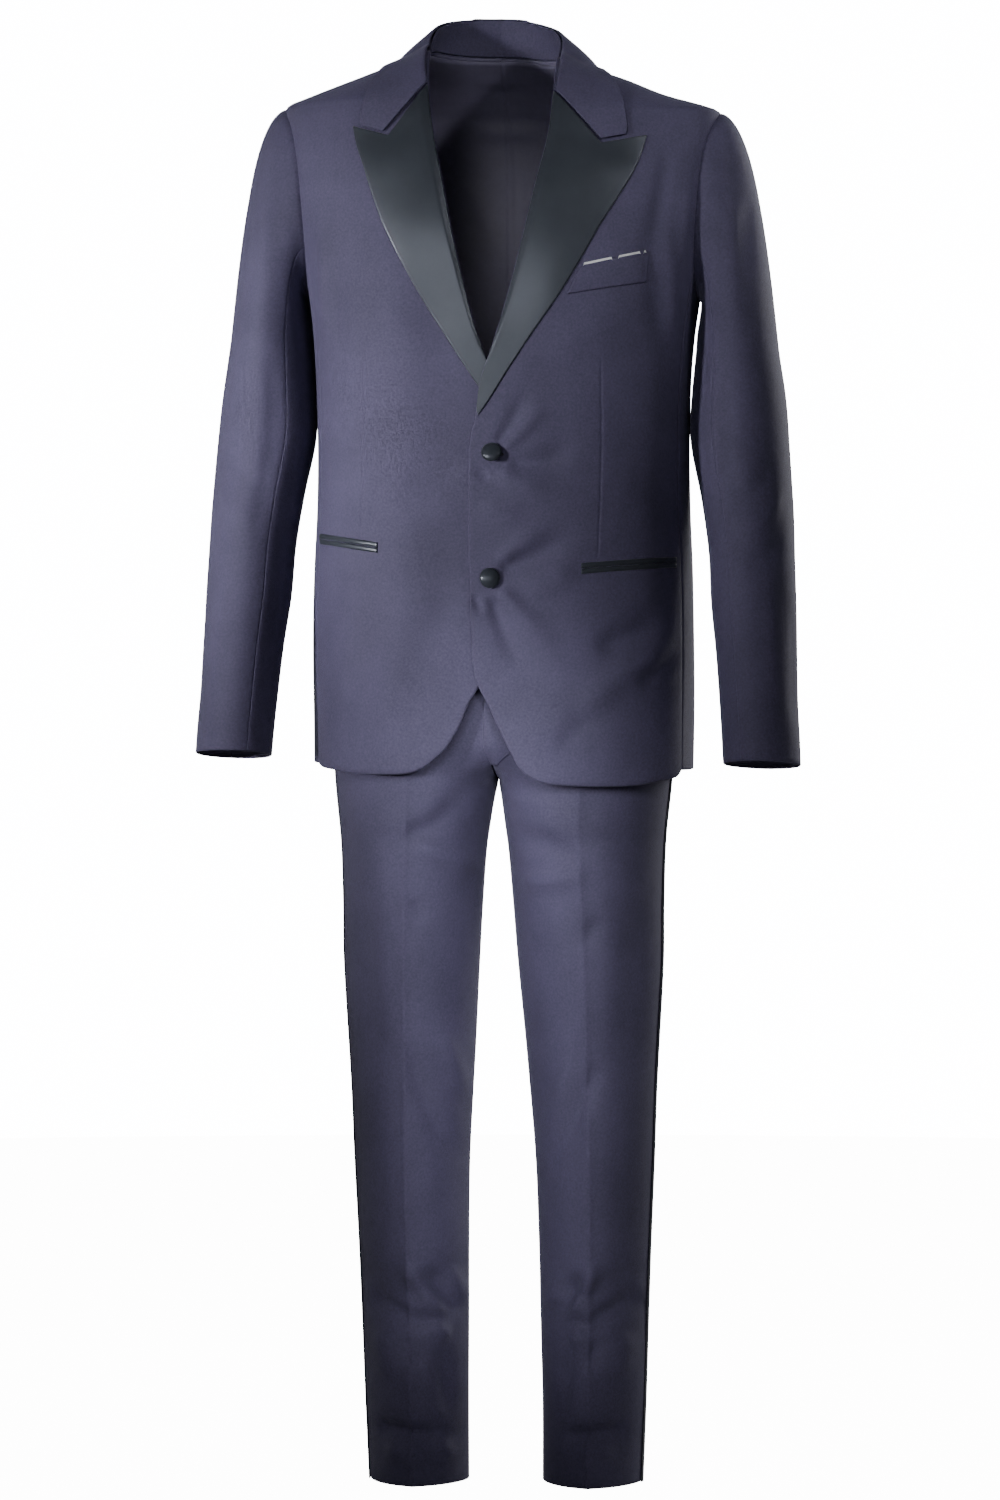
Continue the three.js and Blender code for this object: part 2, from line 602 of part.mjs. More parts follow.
// A lapel lies on its front, higher near the roll line, where the cloth turns over.
function lapel(front) {
  const rows = 12;
  const cols = 8;
  const outerEdge = spaced(lapelEdge, rows);
  const cornerShare = 0.5;
  const topEdge = (t) => (t < cornerShare
    ? { x: mix(gorgeStart.x, notch.x, t / cornerShare), z: mix(gorgeStart.z, notch.z, t / cornerShare) }
    : {
      x: mix(notch.x, lapelEdge[0].x, (t - cornerShare) / (1 - cornerShare)),
      z: mix(notch.z, lapelEdge[0].z, (t - cornerShare) / (1 - cornerShare)),
    });
  const rollStart = gorgeStart.z;
  const rollEnd = -380;
  const grid = steps(rows).map((v, r) => {
    const rollZ = mix(rollStart, rollEnd, v);
    const roll = { x: lookUp(frontEdge, "z", rollZ, "x") + 0.5, z: rollZ };
    return steps(cols).map((t) => {
      const pull = clamp(1 - v / 0.3);
      const chordX = mix(gorgeStart.x, lapelEdge[0].x, t);
      const chordZ = mix(gorgeStart.z, lapelEdge[0].z, t);
      const reach = front.reach * t * clamp((outerEdge[r].z + 190) / 60);
      const x = mix(roll.x, outerEdge[r].x, t) + (topEdge(t).x - chordX) * pull + reach;
      const z = mix(roll.z, outerEdge[r].z, t) + (topEdge(t).z - chordZ) * pull;
      const p = frontPoint(x, z);
      const puff = 2.2 * smooth(t / 0.12) * (1 - t) * smooth((z - overlapTop + 10) / 60)
        + 1.1 * smooth((z + 100) / 30);
      return { p, lift: lie + puff + (front.side > 0 ? 0 : deeper(x, z)) };
    });
  });
  const outer = grid.map((row) => row.map((g) => add(g.p, bodyNormal(g.p), g.lift + satin)));
  const inner = grid.map((row) => row.map((g) => add(g.p, bodyNormal(g.p), g.lift)));
  return wall(trimmed(outer, { last: 0, start: 0, end: 0 }), trimmed(inner, { last: 0, start: 0, end: 0 }),
    placed(front.side));
}

// The collar: a fall that turns out over the fold line, and the stand inside it
function collarAt(along) {
  const a = Math.abs(along);
  const value = (column) => lookUp(collarRows, "along", a, column);
  const side = Math.sign(along) || 1;
  const fold = [value("foldX"), value("foldY"), value("foldZ")];
  const edge = [value("edgeX"), value("edgeY"), value("edgeZ")];
  return { side, fold, edge };
}

function collarFall() {
  const notchShare = 0.52;
  const shares = [0, 0.07, 0.22, 0.37, notchShare, 0.76, 1];
  const count = 32;
  const alongs = steps(count).map((t) => {
    const even = mix(-1, 1, t);
    return mix(even, Math.sin(even * Math.PI / 2), 0.6);
  });
  const rows = alongs.map((along) => {
    const { side, fold, edge } = collarAt(along);
    const end = smooth((Math.abs(along) - 0.8) / 0.2);
    return shares.map((t) => {
      const line = between(fold, edge, t);
      const [from, to] = t < notchShare ? [gorgeStart, notch] : [notch, collarTip];
      const share = t < notchShare ? t / notchShare : (t - notchShare) / (1 - notchShare);
      const bend = [mix(from.x, to.x, share), line[1], mix(from.z, to.z, share)];
      const belly = 4 * Math.sin(Math.PI * t) * (1 - end);
      const bellied = add(line, unit([line[0], line[1], 25]), belly);
      const lift = lie + 2.2 + 1.2 * smooth((Math.abs(along) - 0.68) / 0.15);
      const q = atLift(between(bellied, bend, end), lift, end < 0.5 && t < 1);
      return { q, side };
    });
  });
  const flip = (g) => (g.side > 0 ? g.q : mirrorX(g.q));
  const outer = rows.map((row) => row.map(flip));
  const normals = outer.map((row, r) => row.map((p, c) => {
    const round = add(outer[Math.min(r + 1, count)][c], outer[Math.max(r - 1, 0)][c], -1);
    const down = add(row[Math.min(c + 1, shares.length - 1)], row[Math.max(c - 1, 0)], -1);
    return unit(cross(down, round));
  }));
  const middle = normals[count / 2][3];
  const towards = middle[1] > 0 ? 1 : -1;
  const inner = outer.map((row, r) => row.map((p, c) => add(p, normals[r][c], -towards * collarCloth)));
  return wall(trimmed(outer, { start: 0, end: 0 }), trimmed(inner, { start: 0, end: 0 }), placed(1));
}

function collarStand() {
  const shares = [0, 0.5, 1];
  const grid = steps(22).map((t) => {
    const along = mix(-standEnd, standEnd, t);
    const { side, fold } = collarAt(along);
    const round = unit([fold[0], fold[1], 0]);
    const behind = smooth((fold[1] + 40) / 68);
    const seamZ = mix(-10, neckSeamZ, behind);
    const foot = atLift([fold[0] * 1.05, fold[1] * 1.05, seamZ], mix(-(wool + 0.5), -0.4, behind));
    foot[2] = seamZ;
    const top = add([fold[0], fold[1], fold[2] - 4.5], round, -3.4);
    return shares.map((s) => {
      const p = between(foot, top, s);
      return side > 0 ? p : mirrorX(p);
    });
  });
  const inner = grid.map((row) => row.map((p) => add(p, unit([p[0], p[1], 0]), -standCloth)));
  return wall(grid, inner, placed(1));
}

// A four-sided patch on a front, given by its corners, laid between two lifts.
function patch(corners, low, high, side, cols = 6, rows = 2, extra = () => 0) {
  const [a, b, c, d] = corners;
  const grid = steps(rows).map((v) => steps(cols).map((u) => {
    const x = mix(mix(a.x, b.x, u), mix(d.x, c.x, u), v);
    const z = mix(mix(a.z, b.z, u), mix(d.z, c.z, u), v);
    return frontPoint(x, z);
  }));
  return bodyWall(grid, high - low, placed(side), (p) => high + extra(p[0], p[2]));
}

function chestWelt() {
  const corners = [{ x: 93, z: -230.5 }, { x: 160, z: -213.5 }, { x: 157, z: -245 }, { x: 80, z: -260 }];
  addPiece("chest_welt", "wool", patch(corners, lie, lie + 1.4, 1, 8, 3));
  const stretches = [
    { name: "pocket_edge_inner", from: 0.04, to: 0.45 },
    { name: "pocket_edge_middle", from: 0.54, to: 0.87 },
    { name: "pocket_edge_outer", from: 0.93, to: 0.97 },
  ];
  for (const { name, from, to } of stretches) {
    const at = (t, rise) => ({ x: mix(93, 160, t), z: mix(-230.5, -213.5, t) + rise });
    const corner = [at(from, 0.4), at(to, 0.4), at(to, 2), at(from, 2)];
    addPiece(name, "white", patch(corner, lie, lie + 1, 1, 4, 1));
  }
}

// The jets of a hip pocket: two narrow satin strips with the slit between them.
function hipJets(front, label) {
  const { inner, outer, zInner, zOuter } = front.pocket;
  const jet = 5.2;
  const slit = 0.6;
  for (const [name, sign] of [["upper", 1], ["lower", -1]]) {
    const near = sign * slit / 2;
    const far = sign * (slit / 2 + jet);
    const corners = [
      { x: inner, z: zInner + near }, { x: outer, z: zOuter + near },
      { x: outer, z: zOuter + far }, { x: inner, z: zInner + far },
    ];
    const lift = front.side > 0 ? () => 0 : deeper;
    const cloth = patch(corners, lie, lie + satin, front.side, 8, 1, lift);
    addPiece(`hip_jet_${name}_${label}`, "satin", cloth);
  }
}

// A covered button stands on its shank, turned about the line that points out of the chest.
function coveredButton({ name, x, z }) {
  const { radius, rim, height, shank } = buttons;
  const profile = [
    [0, 0], [shank, 0], [shank, rim * 0.8], [radius * 0.9, rim], [radius, rim + 1],
    [radius * 0.92, rim + 2.2], [radius * 0.6, height - 0.6], [0, height],
  ].map(([r, h]) => new THREE.Vector2(r, h));
  const geometry = new THREE.LatheGeometry(profile, 16);
  const seat = frontPoint(x, z);
  const out = bodyNormal(seat);
  const spot = wear(add(seat, out, 0.4));
  geometry.applyQuaternion(
    new THREE.Quaternion().setFromUnitVectors(new THREE.Vector3(0, 1, 0), new THREE.Vector3(...out)),
  );
  geometry.translate(...spot);
  addPiece(name, "satin", geometry);
}

// The trousers
function hipPoint(u, z, back) {
  const s = {
    half: lookUp(hipSections, "z", z, "half"),
    depth: lookUp(hipSections, "z", z, back ? "back" : "front"),
  };
  const angle = Math.PI / 2 * (1 - u);
  const sign = back ? 1 : -1;
  return [s.half * Math.sin(angle) ** 0.9, sign * s.depth * Math.cos(angle) ** 0.9, z];
}

function legPoint(u, z, back) {
  const value = (column) => lookUp(legSections, "z", z, column);
  const middle = (value("outer") + value("inner")) / 2;
  const half = (value("outer") - value("inner")) / 2;
  const angle = Math.PI * (0.5 - u);
  const power = 2 / value("power");
  const sign = back ? 1 : -1;
  const across = Math.sign(Math.sin(angle)) * Math.abs(Math.sin(angle)) ** power;
  const depth = value(back ? "back" : "front") * Math.max(0, Math.cos(angle)) ** power;
  return [middle + half * across, value("y") + sign * depth, z];
}

// How deep the folds press into a leg at this height, with the crease at u = 0.5.
function foldDepth(u, z, back) {
  const fromCrease = Math.abs(u - 0.5) * 2;
  const share = back ? 0.6 : 1;
  return legFolds.reduce((sum, f) => {
    const at = f.z - f.rise * fromCrease;
    return sum + share * f.depth * Math.exp(-(((z - at) / f.spread) ** 2)) * Math.cos(Math.PI * (u - 0.5));
  }, 0);
}

function trouserGrid(back) {
  const us = steps(trouserCols);
  const rows = [-512, -545, -585, -630, -675].map((z) => us.map((u) => {
    const p = hipPoint(u, z, back);
    return [Math.max(p[0], legGap), p[1], p[2]];
  }));
  for (const row of seatRows) {
    const centre = back ? [legGap, row.backY, row.backZ] : [legGap, row.frontY, row.frontZ];
    const z = row.zSide;
    const reach = between(hipPoint(1, z, back), legPoint(1, z, back), row.share);
    const miss = add(centre, reach, -1);
    rows.push(us.map((u) => {
      const p = between(hipPoint(u, z, back), legPoint(u, z, back), row.share);
      const q = add(p, miss, u ** 4);
      return [Math.max(q[0], legGap), q[1], q[2]];
    }));
  }
  for (const z of legRowsZ) {
    rows.push(us.map((u) => {
      const p = legPoint(u, z, back);
      const inward = back ? -1 : 1;
      return [p[0], p[1] + inward * foldDepth(u, z, back), z];
    }));
  }
  return rows;
}

const frontLeg = trouserGrid(false);
const backLeg = trouserGrid(true);
const firstLegRow = 5 + seatRows.length;

// Normals of a trouser panel, then those of both panels with their seams' normals made the same.
function panelNormals(grid, other, sign) {
  const last = trouserCols;
  return grid.map((row, r) => row.map((p, c) => {
    const inseam = r >= firstLegRow ? other[r][last - 1] : mirrorX(row[last - 1]);
    const next = c < last ? row[c + 1] : inseam;
    const before = c > 0 ? row[c - 1] : other[r][1];
    const above = grid[Math.max(r - 1, 0)][c];
    const below = grid[Math.min(r + 1, grid.length - 1)][c];
    return unit(cross(add(next, before, -1), add(below, above, -1)).map((v) => v * sign));
  }));
}

function legNormals() {
  const front = panelNormals(frontLeg, backLeg, 1);
  const back = panelNormals(backLeg, frontLeg, -1);
  front.forEach((row, r) => {
    for (const c of r >= firstLegRow - 1 ? [0, trouserCols] : [0]) {
      row[c] = unit(add(row[c], back[r][c]));
      back[r][c] = row[c];
    }
  });
  return { front, back };
}

const trouserNormals = legNormals();

function trouserPanel(grid, normals, side) {
  const outer = trimmed(grid, { first: 0, last: 0 });
  const inner = outer.map((row, r) => row.map((p, c) => add(p, normals[r][c], -trouserWool)));
  return wall(outer, inner, standing(side));
}

function stripe(side) {
  const reach = stripeWidth / 2;
  const rows = frontLeg.map((row, r) => {
    const seam = row[0];
    const ahead = unit(add(frontLeg[r][1], seam, -1));
    const behind = unit(add(backLeg[r][1], seam, -1));
    return [add(seam, ahead, reach), seam, add(seam, behind, reach)];
  });
  const outer = rows.map((row) => row.map((p) => add(p, [1, 0, 0], lie + 0.9)));
  const inner = rows.map((row) => row.map((p) => add(p, [1, 0, 0], lie)));
  return wall(outer, inner, standing(side));
}

// The waistband closes at the front centre, where its two ends meet.
function waistband() {
  const count = 24;
  const grid = [-475, -511.6].map((z) => steps(count).map((t) => {
    const round = mix(-1.995, 1.995, t);
    const back = Math.abs(round) < 1;
    const u = back ? 1 - Math.abs(round) : Math.abs(round) - 1;
    const p = hipPoint(u, z, back);
    return [Math.sign(round || 1) * p[0], p[1], p[2]];
  }));
  const inner = grid.map((row) => row.map((p) => add(p, unit([p[0], p[1] * 1.6, 0]), -waistCloth)));
  return wall(grid, inner, stand);
}

function flyPiece() {
  const zs = [-516, -560, -610, -660, -700, -728];
  const grid = zs.map((z) => [-8, 4, 16, 28].map((x) => {
    const half = lookUp(hipSections, "z", z, "half");
    const depth = lookUp(hipSections, "z", z, "front");
    const angle = Math.asin((Math.abs(x) / half) ** (1 / 0.9));
    return [x, -depth * Math.cos(angle) ** 0.9, z];
  }));
  const outer = grid.map((row) => row.map((p) => add(p, [0, -1, 0], lie + 1.4)));
  const inner = grid.map((row) => row.map((p) => add(p, [0, -1, 0], lie + 0.2)));
  return wall(outer, inner, stand);
}

// Everything in the order a tailor would lay it out
for (const [label, front] of Object.entries(fronts)) {
  addPiece(`front_${label}`, "wool", frontPanel(front));
  addPiece(`side_${label}`, "wool", sidePanel(front.side));
  addPiece(`back_${label}`, "wool", backPanel(front.side));
  sleevePieces(front.side, label);
  addPiece(`lapel_${label}`, "satin", lapel(front));
  hipJets(front, label);
}
addPiece("collar_fall", "wool", collarFall());
addPiece("collar_stand", "wool", collarStand());
addPiece("back_lining", "lining", backLining());
chestWelt();
buttonPlaces.forEach(coveredButton);
for (const [label, side] of [["left", 1], ["right", -1]]) {
  addPiece(`trouser_front_${label}`, "wool", trouserPanel(frontLeg, trouserNormals.front, side));
  addPiece(`trouser_back_${label}`, "wool", trouserPanel(backLeg, trouserNormals.back, side));
  addPiece(`side_stripe_${label}`, "satin", stripe(side));
}
addPiece("waistband", "wool", waistband());
addPiece("fly", "wool", flyPiece());

export default group;
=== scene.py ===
import math

import bpy
import numpy as np
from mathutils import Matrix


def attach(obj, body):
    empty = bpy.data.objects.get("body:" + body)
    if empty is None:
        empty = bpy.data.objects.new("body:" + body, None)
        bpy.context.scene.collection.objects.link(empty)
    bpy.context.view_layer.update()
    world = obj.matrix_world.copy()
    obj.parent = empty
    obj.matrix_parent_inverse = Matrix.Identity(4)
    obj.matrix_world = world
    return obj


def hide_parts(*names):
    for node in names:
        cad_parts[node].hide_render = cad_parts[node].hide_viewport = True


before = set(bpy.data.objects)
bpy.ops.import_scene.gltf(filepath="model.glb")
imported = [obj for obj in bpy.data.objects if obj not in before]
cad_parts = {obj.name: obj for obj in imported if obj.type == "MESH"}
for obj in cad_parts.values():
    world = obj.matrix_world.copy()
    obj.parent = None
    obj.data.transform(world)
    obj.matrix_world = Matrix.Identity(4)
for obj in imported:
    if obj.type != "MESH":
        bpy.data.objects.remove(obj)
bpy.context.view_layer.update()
print("suit: frame loaded")

# Sizes are in millimetres until a mesh is made. The wearer faces -Y and their left is +X.

# The jacket's level sections: height, half width, depth in front, depth behind, exponent of the superellipse
bodyTable = np.array([
    [10, 60, 46, 68, 2.2], [0, 81, 56, 76, 2.2], [-8, 97, 63, 82, 2.2], [-15, 114, 69, 87, 2.25],
    [-22, 133, 75, 92, 2.3], [-32, 158, 82, 98, 2.35], [-42, 184, 88, 103, 2.4], [-52, 209, 93.5, 107.5, 2.5],
    [-60, 226, 97, 110, 2.6], [-85, 228, 106, 116, 2.8], [-120, 226, 116, 121, 2.9], [-160, 221, 123, 124, 2.9],
    [-200, 213, 128, 124, 2.9], [-240, 205, 131, 121, 2.8], [-290, 198.5, 133, 115, 2.6],
    [-350, 194.5, 134, 107, 2.5], [-410, 193, 134.5, 102, 2.45], [-470, 194, 135, 105, 2.4],
    [-540, 197, 135.5, 114, 2.4], [-620, 198, 136, 123, 2.4], [-700, 197.5, 136, 127, 2.4],
    [-790, 196.5, 136, 129, 2.4],
])
middleShift = np.array([[60, -10], [0, -9], [-45, -7], [-90, -5], [-216, -5], [-325, -5], [-420, -1], [-800, -1]])
thighShift = np.array([[-640, 0], [-760, -5], [-817, -6], [-942, -5], [-1040, -3], [-1233, -1], [-1400, 0]])
frontEdge = np.array([
    [0, 66], [-42, 64], [-90, 58.5], [-142, 47.6], [-216, 32], [-286, 14], [-325, 1], [-354, -9], [-389, -15],
    [-410, -21.5], [-470, -23], [-520, -23], [-600, -21.5], [-645, -18],
])

jacket = {
    "wool": 2.0, "satin": 1.2, "lining": 1.0, "lie": 0.6, "liningGap": 1.2,
    "shoulderZ": -60, "armholeDrop": 195, "armholeDepth": 142, "armholePower": 2.25,
    "splitZ": -520, "backHemZ": -739, "sideHemZ": -741, "backSeamHemY": 60,
    "wornTilt": 0.02, "lowShoulder": 6, "underlap": 5, "splitToHem": 225, "liningHalf": 158,
}


def clamp(v, low=0.0, high=1.0):
    return np.clip(v, low, high)


def mix(a, b, t):
    return a + (b - a) * t


def smooth(t):
    c = clamp(t)
    return c * c * (3 - 2 * c)


def unit(v):
    return v / np.maximum(np.linalg.norm(v, axis=-1, keepdims=True), 1e-12)


# Coordinates side by side, broadcast to one shape
def joined(*parts):
    return np.stack(np.broadcast_arrays(*parts), -1)


def signedPower(v, power):
    return np.sign(v) * np.abs(v) ** power


# A cubic from a to b by t, with its slopes at both ends
def cubic(t, a, slopeA, b, slopeB):
    return ((2 * t**3 - 3 * t**2 + 1) * a + (t**3 - 2 * t**2 + t) * slopeA
            + (3 * t**2 - 2 * t**3) * b + (t**3 - t**2) * slopeB)


# A curve through a table's rows: on each stretch a cubic whose end slopes join the neighbouring rows
def eased(at, table, column=1):
    rows = table if table[0, 0] < table[-1, 0] else table[::-1]
    knots, values = rows[:, 0], rows[:, column]
    at = np.asarray(at, float)
    i = np.clip(np.searchsorted(knots, at, side="right") - 1, 0, len(knots) - 2)
    before, after = np.maximum(i - 1, 0), np.minimum(i + 2, len(knots) - 1)
    gap = knots[i + 1] - knots[i]
    t = clamp((at - knots[i]) / gap)
    slopeA = (values[i + 1] - values[before]) / (knots[i + 1] - knots[before]) * gap
    slopeB = (values[after] - values[i]) / (knots[after] - knots[i]) * gap
    return cubic(t, values[i], slopeA, values[i + 1], slopeB)


def columnsAt(at, table, first, last):
    return [eased(at, table, column) for column in range(first, last + 1)]


def section(z):
    return columnsAt(z, bodyTable, 1, 4)


# The point of a level section at an angle from the front centre:
# half width times the sine, depth times the cosine, each to the power two over the exponent
def ringPoint(angle, z):
    half, front, back, power = section(z)
    depth = np.where(angle < math.pi / 2, front, back)
    sine, cosine = np.sin(angle), np.cos(angle)
    return half * np.abs(sine) ** (2 / power), -depth * signedPower(cosine, 2 / power)


# Length tables of the sections, one level every 2 mm, so that a distance round the body gives an angle
levels = np.linspace(-800, 14, 408)
turns = np.linspace(0, math.pi, 361)
ringX, ringY = ringPoint(turns[None, :], levels[:, None])
roundLength = np.concatenate([
    np.zeros((len(levels), 1)), np.cumsum(np.hypot(np.diff(ringX), np.diff(ringY)), axis=1)], axis=1)
wholeLength = roundLength[:, -1]
shareSteps = np.linspace(0, 1, 481)
angleTable = np.array([np.interp(shareSteps * row[-1], row, turns) for row in roundLength])


def bilinear(table, z, across):
    zAt = clamp((z - levels[0]) / (levels[1] - levels[0]), 0, len(levels) - 1.001)
    i, j = zAt.astype(int), np.clip(across, 0, table.shape[1] - 1.001).astype(int)
    f, g = zAt - i, np.clip(across, 0, table.shape[1] - 1) - j
    top = table[i, j] * (1 - g) + table[i, j + 1] * g
    low = table[i + 1, j] * (1 - g) + table[i + 1, j + 1] * g
    return top * (1 - f) + low * f


def backCentre(z):
    return np.interp(z, levels, wholeLength)


# The body point a distance round from the front centre at a height
def onBody(distance, z):
    distance, z = np.broadcast_arrays(np.asarray(distance, float), np.asarray(z, float))
    share = np.abs(distance) / backCentre(z)
    angle = bilinear(angleTable, z, share * (len(shareSteps) - 1))
    x, y = ringPoint(angle, z)
    return joined(np.where(distance < 0, -1, 1) * x, y, z)


# The distance round to a depth y on the side of the body
def toY(y, z):
    y, z = np.broadcast_arrays(np.asarray(y, float), np.asarray(z, float))
    half, front, back, power = section(z)
    share = clamp(np.abs(y) / np.where(y < 0, front, back))
    cosine = share ** (power / 2)
    angle = np.where(y < 0, np.arccos(cosine), math.pi - np.arccos(cosine))
    return bilinear(roundLength, z, angle / math.pi * (len(turns) - 1))


# The distance round to a width x on the front
def toX(x, z):
    x, z = np.broadcast_arrays(np.asarray(x, float), np.asarray(z, float))
    half, front, back, power = section(z)
    share = clamp(np.abs(x) / half, 0, 0.9999)
    return np.where(x < 0, -1, 1) * toY(-front * (1 - share**power) ** (1 / power), z)


def bodyValue(p):
    half, front, back, power = section(p[..., 2])
    depth = np.where(p[..., 1] < 0, front, back)
    return np.abs(p[..., 0] / half) ** power + np.abs(p[..., 1] / depth) ** power


def bodySlope(p):
    step = 0.05
    return np.stack([(bodyValue(p + step * axis) - bodyValue(p - step * axis)) / (2 * step)
                     for axis in np.eye(3)], -1)


def bodyNormal(p):
    return unit(bodySlope(p))


# Moves points along the body's normal until they lie the given distance off it
def atLift(p, lift, onlyOut):
    for _ in range(6):
        slope = bodySlope(p)
        short = lift - (bodyValue(p) - 1) / np.linalg.norm(slope, axis=-1)
        short = np.where(onlyOut & (short < 0), 0, short)
        p = p + unit(slope) * (clamp(short, -12, 12) * 0.9)[..., None]
    return p


# How much deeper the covered front lies, in its own half's coordinates
def deeper(x, z):
    return -jacket["underlap"] * (1 - smooth((x - 40) / 65)) * smooth((-180 - z) / 100)


# The worn jacket: its middle off centre, one side lower
def wear(p):
    x, y, z = p[..., 0], p[..., 1], p[..., 2]
    fade = 1 - smooth(np.abs(x) / 210)
    beside = smooth((x - 10) / 60) * (1 - smooth((x - 158) / 80)) * smooth((z + 190) / 110)
    return joined(x + eased(z, middleShift) * fade, y, z - jacket["wornTilt"] * x - jacket["lowShoulder"] * beside)


def stand(p):
    x, y, z = p[..., 0], p[..., 1], p[..., 2]
    return joined(x + eased(z, thighShift) * (1 - smooth(np.abs(x) / 165)), y, z)


def sided(side, settle):
    return lambda p: settle(p * np.array([side, 1, 1]))


def bell(distance, width):
    return np.exp(-((distance / width) ** 2))


# A fold is a tuple: three points of its line, the half width of its bell at the first and the last point,
# and its height, which is above zero for a ridge. Two more numbers may say over which share of the line
# it rises and falls
foldEase = [0.3, 0.4]
foldDepths = {"front": 2.0, "back": 1.8, "trousers": 2.0}  # what the heights are multiplied by


def foldSum(across, up, folds):
    total = np.zeros(np.broadcast(across, up).shape)
    point = joined(across, up)
    for fold in folds:
        a, b, c = (np.array(p, float) for p in fold[:3])
        first, last, height, *ease = fold[3:]
        start, end = [*ease, *foldEase[len(ease):]]
        t = np.linspace(0, 1, 17)[:, None]
        b = 2 * b - (a + c) / 2  # the control point that carries the curve through the middle one
        line = (1 - t) ** 2 * a + 2 * t * (1 - t) * b + t**2 * c
        starts, runs = line[:-1], np.diff(line, axis=0)
        away = point[..., None, :] - starts
        s = clamp((away * runs).sum(-1) / (runs**2).sum(-1))
        gap = np.linalg.norm(away - s[..., None] * runs, axis=-1)
        nearest = gap.argmin(-1)[..., None]
        along = (nearest + np.take_along_axis(s, nearest, -1))[..., 0] / len(runs)
        gap = np.take_along_axis(gap, nearest, -1)[..., 0]
        ends = smooth(along / start) * smooth((1 - along) / end)
        total = total + height * ends * bell(gap, mix(first, last, along))
    return total


# Slow unevenness of hung cloth: a few waves of different length and direction
def drift(across, up, seed, height=0.5):
    dice = np.random.default_rng(seed)
    total = np.zeros(np.broadcast(across, up).shape)
    for _ in range(7):
        turn, length, start = dice.uniform(-0.9, 0.9), dice.uniform(70, 220), dice.uniform(0, 6.3)
        total = total + np.sin((across * math.cos(turn) + up * math.sin(turn)) * 6.283 / length + start)
    return total * height / 3


# Evenly spaced shares from 0 to 1 with a few close ones beside each end and beside the marks.
# An even one that would come too near a close one is left out, the ends aside
def closeAt(count, marks=(), near=(0.0035, 0.008, 0.015)):
    near, even = np.array(near), np.linspace(0, 1, count)
    close = [near, 1 - near]
    for mark in marks:
        close.append(mark + np.concatenate([-near[::-1], [0], near]))
        even = even[np.abs(even - mark) > 0.6 / count]
    close = np.concatenate(close)
    apart = np.abs(even[:, None] - close[None, :]).min(axis=1) > 0.35 / count
    apart[[0, -1]] = True
    return np.unique(np.round(np.concatenate([even[apart], close]), 5))


def faceNormals(grid):
    return unit(np.cross(np.gradient(grid, axis=1), np.gradient(grid, axis=0)))


# The unit normals of a grid, on the side that the reference direction is on
def gridNormals(grid, reference):
    normal = faceNormals(grid)
    return normal if (normal * reference).sum() > 0 else -normal


# The four-cornered faces of a grid of point numbers
def gridFaces(index):
    return np.stack([index[:-1, :-1], index[:-1, 1:], index[1:, 1:], index[1:, :-1]], -1).reshape(-1, 4)


# The length along each row of a grid up to each of its points
def rowLengths(grid):
    steps = np.linalg.norm(np.diff(grid, axis=1), axis=-1)
    return np.concatenate([np.zeros((len(grid), 1)), np.cumsum(steps, axis=1)], axis=1)


# The points at distances along the rows of a grid, with a row of distances for each
def alongRows(grid, distances):
    return np.array([[[np.interp(d, row, line[:, n]) for n in range(3)] for d in away]
                     for away, row, line in zip(distances, rowLengths(grid), grid)])


# Cumulative length across each row, from its middle, and down the middle column, in metres
def clothLengths(grid):
    across = rowLengths(grid)
    across = across - across[:, [grid.shape[1] // 2]]
    middle = grid[:, grid.shape[1] // 2]
    down = np.concatenate([[0], np.cumsum(np.linalg.norm(np.diff(middle, axis=0), axis=-1))])
    return np.stack([across, np.broadcast_to(-down[:, None], across.shape)], -1) / 1000


collection = bpy.context.scene.collection


# A smooth mesh from points in millimetres, faces as lists and one uv for each point
def makeMesh(name, points, faces, uv, materials, slots=None):
    mesh = bpy.data.meshes.new(name)
    mesh.from_pydata((points / 1000).tolist(), [], faces)
    mesh.polygons.foreach_set("use_smooth", np.ones(len(faces), bool))
    if slots is not None:
        mesh.polygons.foreach_set("material_index", slots.astype(np.int32))
    corners = np.zeros(len(mesh.loops), np.int32)
    mesh.loops.foreach_get("vertex_index", corners)
    mesh.uv_layers.new(name="cut").data.foreach_set("uv", uv[corners].astype(np.float32).ravel())
    for material in materials:
        mesh.materials.append(material)
    mesh.update()
    piece = bpy.data.objects.new(name, mesh)
    collection.objects.link(piece)
    return piece


